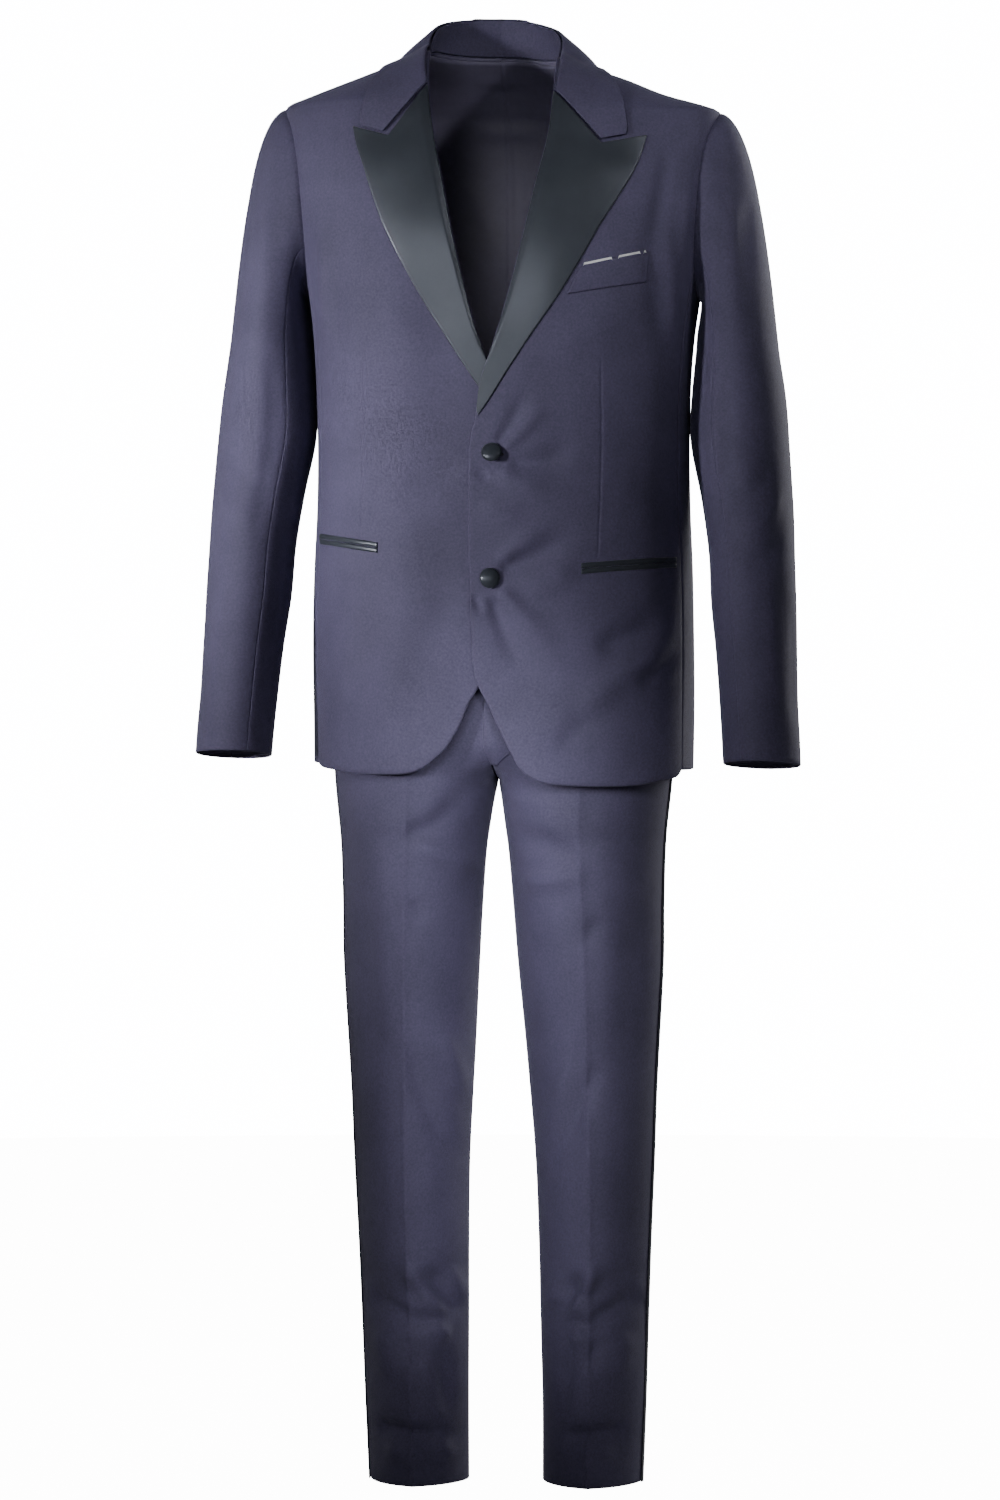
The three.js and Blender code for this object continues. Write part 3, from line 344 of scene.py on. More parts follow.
# A wall of cloth: the outer grid, the same grid moved in by the thickness, and a rim round the edge
def clothWall(name, grid, thickness, place, reference, materials):
    outer = place(grid)
    normal = faceNormals(outer)
    outward = (normal * (place(grid + reference) - outer)).sum() > 0
    inner = outer - (normal if outward else -normal) * thickness
    rows, cols = grid.shape[:2]
    shift = rows * cols
    index = np.arange(shift).reshape(rows, cols)
    face = gridFaces(index)
    back = face[:, ::-1] + shift
    rim = [
        np.stack([index[0, 1:], index[0, :-1], index[0, :-1] + shift, index[0, 1:] + shift], -1),
        np.stack([index[-1, :-1], index[-1, 1:], index[-1, 1:] + shift, index[-1, :-1] + shift], -1),
        np.stack([index[:-1, 0], index[1:, 0], index[1:, 0] + shift, index[:-1, 0] + shift], -1),
        np.stack([index[1:, -1], index[:-1, -1], index[:-1, -1] + shift, index[1:, -1] + shift], -1),
    ]
    faces = np.concatenate([face, back, *rim])
    slots = np.zeros(len(faces))
    slots[len(face):2 * len(face)] = 1  # the inner face
    if not outward:
        faces = faces[:, ::-1]
    uv = clothLengths(outer).reshape(-1, 2)
    points = np.concatenate([outer.reshape(-1, 3), inner.reshape(-1, 3)])
    return makeMesh(name, points, faces.tolist(), np.concatenate([uv, uv]), materials, slots)


# Effects that several cloths use
def nodeGroup(name, inputs, outputs):
    group = bpy.data.node_groups.new(name, "ShaderNodeTree")
    for label, kind, value in inputs:
        socket = group.interface.new_socket(name=label, in_out="INPUT", socket_type=kind)
        if value is not None:
            socket.default_value = value
    for label, kind in outputs:
        group.interface.new_socket(name=label, in_out="OUTPUT", socket_type=kind)
    return group, group.nodes.new("NodeGroupInput"), group.nodes.new("NodeGroupOutput")


def mathNode(tree, operation, first, second=None):
    node = tree.nodes.new("ShaderNodeMath")
    node.operation = operation
    for slot, value in enumerate((first, second)):
        if value is None:
            continue
        if isinstance(value, (int, float)):
            node.inputs[slot].default_value = value
        else:
            tree.links.new(value, node.inputs[slot])
    return node.outputs[0]


# Twill: slanting ribs crossed by the single threads. Rib is half plus half the sine of
# (across + up times the slope) times the ribs in a metre
def buildTwill():
    group, start, end = nodeGroup(
        "twillWeave",
        [("Cut", "NodeSocketVector", None), ("Ribs", "NodeSocketFloat", 1900.0), ("Slope", "NodeSocketFloat", 1.0)],
        [("Height", "NodeSocketFloat"), ("Rib", "NodeSocketFloat")])
    apart = group.nodes.new("ShaderNodeSeparateXYZ")
    group.links.new(start.outputs["Cut"], apart.inputs[0])
    turn = mathNode(group, "MULTIPLY", start.outputs["Ribs"], 2 * math.pi)
    slanted = mathNode(group, "ADD", apart.outputs[0], mathNode(
        group, "MULTIPLY", apart.outputs[1], start.outputs["Slope"]))
    rib = mathNode(group, "SINE", mathNode(group, "MULTIPLY", slanted, turn))
    rib = mathNode(group, "ADD", mathNode(group, "MULTIPLY", rib, 0.5), 0.5)
    thread = mathNode(group, "SINE", mathNode(group, "MULTIPLY", mathNode(
        group, "MULTIPLY", apart.outputs[1], turn), 2.0))
    thread = mathNode(group, "ADD", mathNode(group, "MULTIPLY", thread, 0.25), 0.75)
    group.links.new(mathNode(group, "MULTIPLY", rib, thread), end.inputs["Height"])
    group.links.new(rib, end.inputs["Rib"])
    return group


# Tone: broad clouds and a fine fleck, both from noise in object space, added up to a share
def buildTone():
    group, start, end = nodeGroup(
        "clothTone",
        [("Place", "NodeSocketVector", None), ("Clouds", "NodeSocketFloat", 9.0),
         ("Fleck", "NodeSocketFloat", 450.0), ("Fleck share", "NodeSocketFloat", 0.35)],
        [("Tone", "NodeSocketFloat"), ("Fleck", "NodeSocketFloat")])
    clouds = group.nodes.new("ShaderNodeTexNoise")
    clouds.inputs["Detail"].default_value = 3
    fleck = group.nodes.new("ShaderNodeTexNoise")
    fleck.inputs["Detail"].default_value = 2
    for node, size in ((clouds, "Clouds"), (fleck, "Fleck")):
        group.links.new(start.outputs["Place"], node.inputs["Vector"])
        group.links.new(start.outputs[size], node.inputs["Scale"])
    flecked = mathNode(group, "MULTIPLY", fleck.outputs[0], start.outputs["Fleck share"])
    plain = mathNode(group, "MULTIPLY", clouds.outputs[0], mathNode(
        group, "SUBTRACT", 1.0, start.outputs["Fleck share"]))
    group.links.new(mathNode(group, "ADD", flecked, plain), end.inputs["Tone"])
    group.links.new(fleck.outputs[0], end.inputs["Fleck"])
    return group


twillWeave = buildTwill()
clothTone = buildTone()
# Shared by all cloths: the relief's depth in metres, the range of roughness, where the ramp of tones starts
# and ends
relief = {"bumpDistance": 0.00012, "roughRange": 0.12, "toneFrom": 0.3, "toneTo": 0.7}


def clothMaterial(name, look):
    material = bpy.data.materials.new(name)
    material.use_nodes = True
    tree = material.node_tree
    shader = next(n for n in tree.nodes if n.type == "BSDF_PRINCIPLED")
    place = tree.nodes.new("ShaderNodeTexCoord")
    cut = tree.nodes.new("ShaderNodeUVMap")
    cut.uv_map = "cut"
    weave = tree.nodes.new("ShaderNodeGroup")
    weave.node_tree = twillWeave
    weave.inputs["Ribs"].default_value = look["ribs"]
    weave.inputs["Slope"].default_value = look["slope"]
    tree.links.new(cut.outputs[0], weave.inputs["Cut"])
    tone = tree.nodes.new("ShaderNodeGroup")
    tone.node_tree = clothTone
    tone.inputs["Clouds"].default_value = look["clouds"]
    tone.inputs["Fleck share"].default_value = look["fleck"]
    tree.links.new(place.outputs["Object"], tone.inputs["Place"])
    ramp = tree.nodes.new("ShaderNodeValToRGB")
    low, high = ramp.color_ramp.elements
    low.position, high.position = relief["toneFrom"], relief["toneTo"]
    low.color, high.color = (*look["dark"], 1), (*look["light"], 1)
    tree.links.new(tone.outputs["Tone"], ramp.inputs[0])
    # Painted shade: the colour is darkened in the grooves between the twill ribs, on top of the ribs' own bump
    shaded = tree.nodes.new("ShaderNodeMix")
    shaded.data_type, shaded.blend_type = "RGBA", "MULTIPLY"
    shaded.inputs[7].default_value = (*[1 - look["paintedRibShade"]] * 3, 1)
    tree.links.new(mathNode(tree, "SUBTRACT", 1.0, weave.outputs["Rib"]), shaded.inputs[0])
    tree.links.new(ramp.outputs[0], shaded.inputs[6])
    tree.links.new(shaded.outputs[2], shader.inputs["Base Color"])
    uneven = mathNode(tree, "MULTIPLY", tone.outputs["Tone"], relief["roughRange"])
    rough = mathNode(tree, "ADD", uneven, look["rough"] - relief["roughRange"] / 2)
    tree.links.new(rough, shader.inputs["Roughness"])
    bump = tree.nodes.new("ShaderNodeBump")
    bump.inputs["Strength"].default_value = look["bump"]
    bump.inputs["Distance"].default_value = relief["bumpDistance"]
    height = mathNode(tree, "ADD", weave.outputs["Height"], mathNode(
        tree, "MULTIPLY", tone.outputs["Fleck"], look["nap"]))
    tree.links.new(height, bump.inputs["Height"])
    tree.links.new(bump.outputs[0], shader.inputs["Normal"])
    for label, value in {
        "Sheen Weight": look["sheen"], "Sheen Roughness": look["sheenRough"], "Sheen Tint": (*look["sheenTint"], 1),
        "Specular IOR Level": look["specular"], "Specular Tint": (*look.get("specularTint", (1, 1, 1)), 1),
        "Anisotropic": look.get("anisotropic", 0),
    }.items():
        shader.inputs[label].default_value = value
    return material


# Each look's rib shade is how much darker the colour is painted in the grooves between the twill ribs: painted
# shade
looks = {
    "wool": {"dark": (0.054, 0.049, 0.094), "light": (0.092, 0.083, 0.158), "ribs": 1700, "slope": 1.0,
             "clouds": 14, "fleck": 0.55, "paintedRibShade": 0.22, "rough": 0.72, "bump": 0.55, "nap": 0.8,
             "sheen": 0.14, "sheenRough": 0.35, "sheenTint": (0.7, 0.68, 1.0), "specular": 0.3},
    "satin": {"dark": (0.022, 0.026, 0.034), "light": (0.03, 0.035, 0.045), "ribs": 3200, "slope": 0.35,
              "clouds": 18, "fleck": 0.2, "paintedRibShade": 0.08, "rough": 0.34, "bump": 0.1, "nap": 0.1,
              "sheen": 0.05, "sheenRough": 0.3, "sheenTint": (0.85, 0.93, 1.0), "specular": 0.5,
              "anisotropic": 0.35, "specularTint": (0.82, 0.86, 1.0)},
    "lining": {"dark": (0.12, 0.11, 0.18), "light": (0.155, 0.14, 0.225), "ribs": 2600, "slope": 0.6,
               "clouds": 16, "fleck": 0.25, "paintedRibShade": 0.1, "rough": 0.5, "bump": 0.12, "nap": 0.15,
               "sheen": 0.08, "sheenRough": 0.4, "sheenTint": (0.9, 0.9, 1.0), "specular": 0.45},
    "white": {"dark": (0.72, 0.72, 0.74), "light": (0.85, 0.85, 0.86), "ribs": 2400, "slope": 0.9,
              "clouds": 30, "fleck": 0.3, "paintedRibShade": 0.06, "rough": 0.75, "bump": 0.2, "nap": 0.3,
              "sheen": 0.05, "sheenRough": 0.5, "sheenTint": (1, 1, 1), "specular": 0.4},
    "thread": {"dark": (0.02, 0.019, 0.032), "light": (0.03, 0.029, 0.045), "ribs": 1500, "slope": 2.0,
               "clouds": 40, "fleck": 0.3, "paintedRibShade": 0.3, "rough": 0.55, "bump": 0.5, "nap": 0.2,
               "sheen": 0.1, "sheenRough": 0.4, "sheenTint": (0.9, 0.9, 1.0), "specular": 0.5},
}
cloths = {name: clothMaterial(name + "Cloth", look) for name, look in looks.items()}
print("suit: cloths ready")

# metres, just over the least width that a sheet may be declared with
leastSide = 0.0102  # metres, the least width and length that measureCut gives a cut


def finishPiece(piece, nodes, held=None):
    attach(piece, "root")
    if nodes:
        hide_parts(*nodes)
    if held:
        width, length, area = measureCut(piece)


# A cloth piece: its grid raised by a lift and walled, the frame parts it stands for hidden and its cut measured.
# The faces name the cloth outside and inside
def makeCloth(name, grid, lift, normal, thickness, place, faces, held, nodes=None):
    raised = grid + normal * np.asarray(lift)[..., None]
    piece = clothWall(name + "_cloth", raised, thickness, place, normal, [cloths[face] for face in faces])
    finishPiece(piece, [name] if nodes is None else nodes, held)


# The cut's width and length by its uv, in metres, and half the area of all its faces. No side comes out
# under the least, and the area not over width times length. No side is declared under the least
def measureCut(piece):
    mesh = piece.data
    uv = np.zeros(len(mesh.loops) * 2, np.float32)
    mesh.uv_layers["cut"].data.foreach_get("uv", uv)
    uv = uv.reshape(-1, 2)
    width, length = np.ptp(uv[:, 0]), np.ptp(uv[:, 1])
    areas = np.zeros(len(mesh.polygons))
    mesh.polygons.foreach_get("area", areas)
    area = float(areas.sum() / 2)
    print(f"cut {piece.name}: {width:.3f} {length:.3f} {area:.4f}")
    width, length = max(float(width), leastSide), max(float(length), leastSide)
    return width, length, min(area, width * length)


# Folds of the fronts, drawn as width and height. Below the table the width becomes the distance round
buttonPlaces = {"upper": (1.5, -424), "lower": (-2, -550)}
frontFolds = [
    # wearer's left front: drag from the upper button
    ((6, -414), (22, -392), (44, -352), 3.5, 9, -1.6, 0.15),
    ((10, -418), (34, -398), (62, -366), 4, 10, 1.5, 0.15),
    ((14, -426), (52, -432), (92, -398), 6, 15, -2.0, 0.2),
    ((10, -436), (30, -452), (70, -446), 6, 16, 1.6, 0.2),
    ((-16, -436), (-8, -446), (0, -450), 4, 4, -1.5),
    ((-8, -470), (10, -482), (40, -486), 9, 16, 1.2),
    # from the lower button
    ((8, -540), (40, -528), (96, -494), 5, 15, -2.2, 0.15),
    ((10, -536), (30, -514), (70, -498), 6, 12, 1.5, 0.2),
    ((28, -556), (64, -552), (88, -530), 9, 14, 1.5),
    ((8, -560), (34, -588), (80, -640), 5, 16, 2.2, 0.15),
    ((2, -566), (14, -606), (42, -658), 5, 15, -2.6, 0.15),
    ((-18, -566), (-14, -576), (-10, -590), 4, 5, -1.6),
    ((16, -690), (50, -706), (96, -700), 12, 18, 1.4),
    # the skirt of the left front
    ((104, -622), (140, -604), (182, -582), 12, 16, -2.4),
    ((112, -650), (150, -636), (188, -612), 10, 14, 2.0),
    ((146, -656), (166, -640), (190, -616), 8, 10, -1.8),
    ((86, -690), (110, -664), (128, -640), 12, 16, 1.6),
    ((60, -722), (90, -700), (110, -672), 10, 16, -1.2),
    # chest, from the lapel towards the armhole
    ((177, -98), (171, -160), (158, -236), 9, 12, -2.2),
    ((197, -130), (193, -190), (184, -262), 8, 10, 1.5),
    ((150, -190), (164, -250), (168, -320), 10, 14, -1.2),
    ((172, -180), (182, -250), (182, -330), 8, 12, 1.6),
    ((70, -330), (96, -300), (140, -290), 14, 20, 1.0),
    # wearer's right front: calmer
    ((-172, -180), (-180, -250), (-180, -330), 8, 12, 1.4),
    ((-152, -190), (-162, -260), (-160, -340), 10, 14, -1.4),
    ((-30, -430), (-60, -446), (-100, -446), 10, 20, -1.0),
    ((-30, -470), (-70, -500), (-116, -506), 12, 20, 1.0),
    ((-34, -556), (-60, -600), (-100, -660), 14, 22, -1.2),
    ((-120, -560), (-150, -620), (-150, -720), 12, 18, 1.3),
    ((-90, -600), (-104, -660), (-96, -730), 14, 20, 1.0),
    ((-60, -330), (-90, -300), (-130, -286), 14, 20, 0.9),
]
# Folds of the sides and back, as distance round from the back centre and height, for both halves
backFolds = [
    ((12, -150), (60, -176), (118, -168), 14, 18, 1.4),
    ((96, -110), (112, -180), (122, -270), 10, 16, 2.0),
    ((76, -120), (90, -200), (98, -290), 10, 16, -1.5),
    ((-70, -110), (-96, -180), (-112, -280), 10, 16, 2.2),
    ((-60, -140), (-76, -220), (-92, -300), 12, 14, -1.6),
    ((10, -392), (60, -404), (120, -384), 8, 14, -1.8),
    ((20, -418), (76, -430), (140, -410), 9, 13, 1.8),
    ((14, -446), (64, -452), (110, -440), 9, 13, -1.2),
    ((-14, -400), (-70, -408), (-128, -388), 9, 14, 1.7),
    ((-18, -424), (-72, -438), (-134, -420), 8, 13, -1.7),
    ((118, -560), (110, -640), (92, -730), 16, 20, 1.8),
    ((-110, -570), (-104, -650), (-96, -734), 16, 20, 1.6),
    ((54, -570), (60, -650), (52, -734), 14, 20, -1.5),
    ((-50, -590), (-58, -660), (-60, -734), 14, 20, -1.4),
    ((170, -300), (176, -380), (160, -470), 10, 14, -1.4),
    ((-172, -300), (-178, -390), (-160, -480), 10, 14, -1.5),
    ((196, -520), (188, -620), (186, -720), 14, 18, 1.4),
    ((-196, -530), (-188, -620), (-186, -716), 14, 18, 1.5),
]
frontFolds = [(*((float(toX(x, z)), z) for x, z in fold[:3]), *fold[3:]) for fold in frontFolds]


# The folds' lift at a distance round the body and a height, with side 1 for the wearer's left.
# Points behind are measured from the back centre too
def bodyLiftAt(distance, z, side):
    roundAt = distance * side
    lift = foldDepths["front"] * foldSum(roundAt, z, frontFolds)
    fromBack = (backCentre(z) - distance) * side
    lift = lift + foldDepths["back"] * foldSum(fromBack, z, backFolds) * smooth((distance - 200) / 60)
    return lift + drift(roundAt, z, 5, 0.45) * smooth((distance - 10) / 60)


# A point of the armhole as seen from the side: turn runs round from its top through the front
def armholeAt(turn):
    power = 2 / jacket["armholePower"]
    sine, cosine = np.sin(turn), np.cos(turn)
    y = jacket["armholeDepth"] / 2 * signedPower(cosine, power)
    z = jacket["shoulderZ"] - jacket["armholeDrop"] / 2 * (1 - signedPower(sine, power))
    return y, z


seamTurn = math.pi / 2 + 2 * math.pi * 9 / 24
seamTopY, seamTopZ = (float(v) for v in armholeAt(np.array(seamTurn)))


def sideSeam(z):
    return toY(seamTopY, z)


def backSeam(z):
    share = clamp((seamTopZ - z) / (seamTopZ - jacket["backHemZ"]))
    return toY(mix(-seamTopY, jacket["backSeamHemY"], share), z)


# The two fronts: cutaway and hem as width and height, the dart, the pocket, how far the lapel reaches
fronts = {
    "left": {
        "side": 1, "reach": 5, "dart": [(-316, 113), (-420, 111.5), (-522, 108)],
        "hem": [(-19, -635), (-14, -657), (-3.4, -677), (7.3, -700), (20, -726), (32, -745), (51, -756), (78, -759),
                (115, -759.3), (152, -756.5), (177, -748), (187, -741.5)],
        "pocket": {"inner": 91, "outer": 183, "zInner": -538, "zOuter": -528},
    },
    "right": {
        "side": -1, "reach": -6, "dart": [(-300, 132), (-400, 134), (-500, 137)],
        "hem": [(-20, -570), (-14, -610), (2, -646), (22, -675), (33, -701), (46, -722), (58, -734), (73, -745),
                (87, -750), (111, -751.4), (147, -751), (170, -746), (187, -740)],
        "pocket": {"inner": 118, "outer": 184, "zInner": -520, "zOuter": -510},
    },
}


# A smooth line through plane points by its length, at the given shares of it
def alongLine(points, shares):
    points = np.array(points, float)
    length = np.concatenate([[0], np.cumsum(np.linalg.norm(np.diff(points, axis=0), axis=-1))])
    table = np.column_stack([length / length[-1], points])
    return eased(shares, table, 1), eased(shares, table, 2)


# Height lost beside a sewn edge, and at a turned edge where the cloth rolls under
def seamDip(distance, depth=0.75):
    return -depth * bell(distance, 1.5)


def turnedEdge(distance, radius=1.3):
    return -radius * (1 - np.sqrt(1 - (1 - clamp(distance / radius)) ** 2)) * 0.9


# A front: level rows down to the split, then rows that bend into the cutaway and hem.
# Each row runs from the edge round to the shoulder line, armhole or side seam
def frontPanel(label, front):
    side, split = front["side"], jacket["splitZ"]
    turn = np.linspace(math.pi / 2, seamTurn, 46)
    armY, armZ = armholeAt(turn)
    shoulder, below = np.linspace(-1.8, -57, 18), np.linspace(seamTopZ, split, 84)[1:]
    z = np.concatenate([shoulder, armZ, below])
    endY = np.concatenate([np.zeros(len(shoulder)), armY, np.full(len(below), seamTopY)])
    left, right = toX(eased(z, frontEdge), z), toY(endY, z)
    lowShare = np.append(np.linspace(0, 1, 62)[1:-2], [0.994, 1.0])
    dartAt = 0.5
    c = closeAt(66, marks=(dartAt,))
    dartTable = np.array(front["dart"], float)[::-1]
    dartZ = clamp(z, dartTable[0, 0], dartTable[-1, 0])
    dartD = toX(eased(dartZ, dartTable), dartZ)
    inRange = clamp((dartD - left) / (right - left), 0.3, 0.75)
    t = np.where(c[None, :] < dartAt, c[None, :] / dartAt * inRange[:, None],
                 inRange[:, None] + (c[None, :] - dartAt) / (1 - dartAt) * (1 - inRange[:, None]))
    distance = mix(left[:, None], right[:, None], t)
    height = np.broadcast_to(z[:, None], distance.shape)
    hemX, hemZ = alongLine(front["hem"], t[-1])
    hemD = mix(toX(hemX, hemZ), sideSeam(hemZ), smooth((t[-1] - 0.9) / 0.1))
    lowZ = mix(split, hemZ[None, :], lowShare[:, None])
    lowD = mix(distance[-1][None, :], hemD[None, :], lowShare[:, None])
    toSide = smooth((t[-1] - 0.92) / 0.08)[None, :]
    lowD = mix(lowD, sideSeam(lowZ) - (right[-1] - distance[-1])[None, :], toSide)
    distance, height = np.concatenate([distance, lowD]), np.concatenate([height, lowZ])
    grid = onBody(distance, height)
    widths = (distance[:, -1] - distance[:, 0])[:, None]
    fromEdge, fromSide = distance - distance[:, :1], distance[:, -1:] - distance
    fromHem = np.concatenate([np.full(len(z), 99.0), (1 - lowShare) * jacket["splitToHem"]])[:, None]
    dartDip = -0.4 * bell((c - dartAt)[None, :] * widths, 1.1)
    dartZs = dartTable[:, 0]
    dartDip = dartDip * smooth((height - dartZs[0] + 4) / 4) * smooth((dartZs[-1] - height) / 30)
    lift = bodyLiftAt(distance, height, side) + dartDip + seamDip(fromSide) + turnedEdge(fromHem)
    closing = smooth((-330 - height) / 30)
    lift = lift + turnedEdge(fromEdge) * closing
    if side < 0:
        lift = lift + deeper(grid[..., 0], grid[..., 2])
    normal = bodyNormal(grid)
    makeCloth(f"front_{label}", grid, lift, normal, jacket["wool"], sided(side, wear), ("wool", "lining"), "hung")


# A side panel from the armhole's lower curve to the hem, between the side and back seams
def sidePanel(label, side):
    c = closeAt(34, near=(0.008, 0.018, 0.035))
    turn = mix(seamTurn, 3 * math.pi - seamTurn, c)
    armY, armZ = armholeAt(turn)
    armD = toY(armY, armZ)
    split, hemZ = jacket["splitZ"], jacket["sideHemZ"]
    rows = np.concatenate([[seamTopZ, seamTopZ - 1.2], np.linspace(seamTopZ, hemZ, 130)[1:-1], [hemZ + 1.2, hemZ]])
    fade = np.interp(rows, [-300, -262, seamTopZ], [0, 0.4, 1])[:, None]
    rise = (jacket["backHemZ"] - hemZ) * clamp((split - rows) / (split - hemZ))[:, None]
    height = rows[:, None] + (armZ - seamTopZ)[None, :] * fade + rise * c[None, :]
    even = mix(sideSeam(height), backSeam(height), c[None, :])
    topEven = mix(sideSeam(armZ), backSeam(armZ), c)
    distance = even + (armD - topEven)[None, :] * fade**3
    grid = onBody(distance, height)
    normal = bodyNormal(grid)
    width = distance[:, -1:] - distance[:, :1]
    lift = bodyLiftAt(distance, height, side) + seamDip(c[None, :] * width) + seamDip((1 - c)[None, :] * width)
    lift = lift + turnedEdge(rows - hemZ)[:, None]
    makeCloth(f"side_{label}", grid, lift, normal, jacket["wool"], sided(side, wear), ("wool", "lining"), "hung")


# A back panel from the neck to the hem, between the shoulder, armhole or back seam and the centre seam
def backPanel(label, side):
    turn = np.linspace(math.pi / 2, math.pi - seamTurn, 46)
    armY, armZ = armholeAt(turn)
    shoulder, hemZ = np.linspace(5, -57, 22), jacket["backHemZ"]
    above = np.concatenate([shoulder, armZ])
    below = np.concatenate([np.linspace(seamTopZ, hemZ, 128)[1:-1], [hemZ + 1.2, hemZ]])
    z = np.concatenate([above, below])
    startY = np.concatenate([np.interp(shoulder, [-2, 5], [0, 28]), armY])
    left = np.concatenate([toY(startY, above), backSeam(below)])
    c = closeAt(58, near=(0.004, 0.009, 0.018))
    distance = mix(left[:, None], backCentre(z)[:, None], c[None, :])
    height = np.broadcast_to(z[:, None], distance.shape)
    grid = onBody(distance, height)
    normal = bodyNormal(grid)
    width = (backCentre(z) - left)[:, None]
    fromCentre = (1 - c)[None, :] * width
    lift = bodyLiftAt(distance, height, side) + seamDip(c[None, :] * width) + seamDip(fromCentre)
    lift = lift + turnedEdge(z - hemZ)[:, None]
    makeCloth(f"back_{label}", grid, lift, normal, jacket["wool"], sided(side, wear), ("wool", "lining"), "hung")


# Small folds of the lining as distance from the centre and height
liningFolds = [
    ((-34, -16), (-4, -18), (30, -15), 2.5, 2.5, -1.3),
    ((-22, -24), (10, -27), (38, -23), 3, 2.5, 1.1),
    ((-40, -66), (0, -70), (44, -64), 7, 8, -1.0),
    ((-60, -120), (-30, -150), (-10, -210), 9, 12, -1.2),
    ((16, -130), (34, -190), (30, -270), 8, 12, -1.3),
]


# The lining of the upper back: the back surface moved in, with a pleat at the centre and the yoke seam
def backLining():
    z = np.linspace(3, -448, 120)
    reach = np.minimum(backCentre(z) - toY(20, z), jacket["liningHalf"])
    c = closeAt(64, marks=(0.5,), near=(0.006, 0.012, 0.02))
    side = np.sign(c - 0.5)
    away = np.abs(2 * c - 1)[None, :] * reach[:, None]
    grid = onBody(backCentre(z)[:, None] - away, z[:, None])
    grid[..., 0] *= side[None, :]
    normal = bodyNormal(grid)
    pleat = -0.7 * bell(away, 1.6) + 0.5 * bell(away - 9, 6) * (side > 0)[None, :]
    yoke = -0.5 * bell(z + 46, 1.8)[:, None]
    wrinkles = foldSum(away * side[None, :], z[:, None], liningFolds)
    lift = pleat + yoke + wrinkles - 0.5 + 0.35 * drift(away * side[None, :], z[:, None], 11, 1.0)
    depth = jacket["wool"] + jacket["liningGap"]
    makeCloth("back_lining", grid, lift - depth, normal, jacket["lining"], sided(1, wear),
              ("lining", "lining"), "hung")


for label, front in fronts.items():
    frontPanel(label, front)
    sidePanel(label, front["side"])
    backPanel(label, front["side"])
backLining()
print("suit: jacket body made")

# Sleeves: section height, centre x and y, half width, half depth
sleeveTable = np.array([
    [-300, 243, 2, 42.5, 71], [-350, 244, -2, 47.5, 67], [-401, 245.5, -8, 50.5, 63],
    [-464, 253.5, -18, 46.5, 58.5], [-516, 258.5, -30, 44, 56], [-568, 261.5, -42, 44, 54],
    [-620, 265.5, -55, 42, 52.5], [-672, 268.5, -66, 40.5, 51], [-704, 270.5, -73, 40, 50.5],
    [-734, 272, -79, 39.5, 50],
])
sleeve = {"cuffSlope": 0.09, "thinner": 0.9, "steps": 24, "step": 14.6, "round": 350, "cuffZ": -734.0}
# Folds of the sleeves as distance round from the outer line, front first, and height. A sleeve's round is
# counted in 24 steps of 14.6 mm
sleeveFolds = {
    "left": [
        ((20, -140), (46, -190), (60, -270), 8, 14, -1.8),
        ((52, -150), (76, -220), (84, -320), 8, 14, 2.2),
        ((-10, -300), (-14, -430), (-6, -600), 16, 20, 2.0),
        ((40, -420), (74, -452), (110, -462), 9, 14, -2.4),
        ((30, -446), (66, -486), (108, -500), 8, 14, 2.4),
        ((34, -490), (66, -524), (100, -530), 8, 12, -1.8),
        ((96, -330), (100, -420), (98, -520), 9, 12, -2.0),
        ((58, -540), (60, -620), (52, -710), 12, 14, 1.6),
        ((20, -560), (24, -640), (20, -720), 12, 16, -1.5),
        ((-60, -430), (-90, -450), (-130, -440), 10, 16, 2.0),
        ((-56, -480), (-90, -494), (-126, -480), 10, 14, -1.8),
    ],
    "right": [
        ((18, -140), (40, -200), (50, -280), 8, 14, -1.6),
        ((56, -150), (78, -230), (80, -330), 8, 14, 2.2),
        ((-4, -300), (4, -440), (8, -600), 16, 20, 2.0),
        ((34, -404), (70, -440), (112, -452), 9, 14, -2.2),
        ((30, -440), (64, -478), (104, -490), 8, 14, 2.2),
        ((98, -300), (102, -420), (98, -540), 9, 12, -2.2),
        ((60, -520), (58, -620), (56, -716), 12, 14, 1.6),
        ((26, -560), (22, -640), (26, -720), 12, 16, -1.5),
        ((-60, -420), (-92, -446), (-132, -436), 10, 16, 2.0),
        ((-58, -466), (-90, -486), (-128, -474), 10, 14, -1.8),
    ],
}


# A point of a sleeve section: centre plus half width times the sine and half depth times the cosine,
# lower behind towards the cuff
def sleeveRing(z, turn):
    x, y, wide, deep = columnsAt(z, sleeveTable, 1, 4)
    drop = clamp((-600 - z) / 100)
    back = deep * np.cos(turn)
    return joined(x + wide * np.sin(turn), y + back, z - sleeve["cuffSlope"] * drop * back)


# The sleeve head: a cubic from each armhole point to the first section, leaving outwards and arriving downwards
def sleeveHead(turn, t):
    y, z = armholeAt(turn)
    start = onBody(toY(y, z), z)[None]
    up = np.sin(turn)
    high, low = clamp(up), clamp(-up)
    goal = sleeveRing(np.full_like(turn, -300.0), turn)[None]
    leave = joined(mix(mix(55, 110, high), 26, low), 14 * np.cos(turn) * (1 - high),
                   mix(mix(-25, -30, high), 0, low))[None]
    arrive = joined(mix(8, 25, high) * (1 - low), 0, mix(mix(-130, -230, high), -60, low))[None]
    t = t[:, None, None]
    return cubic(t, start, leave, goal, arrive)


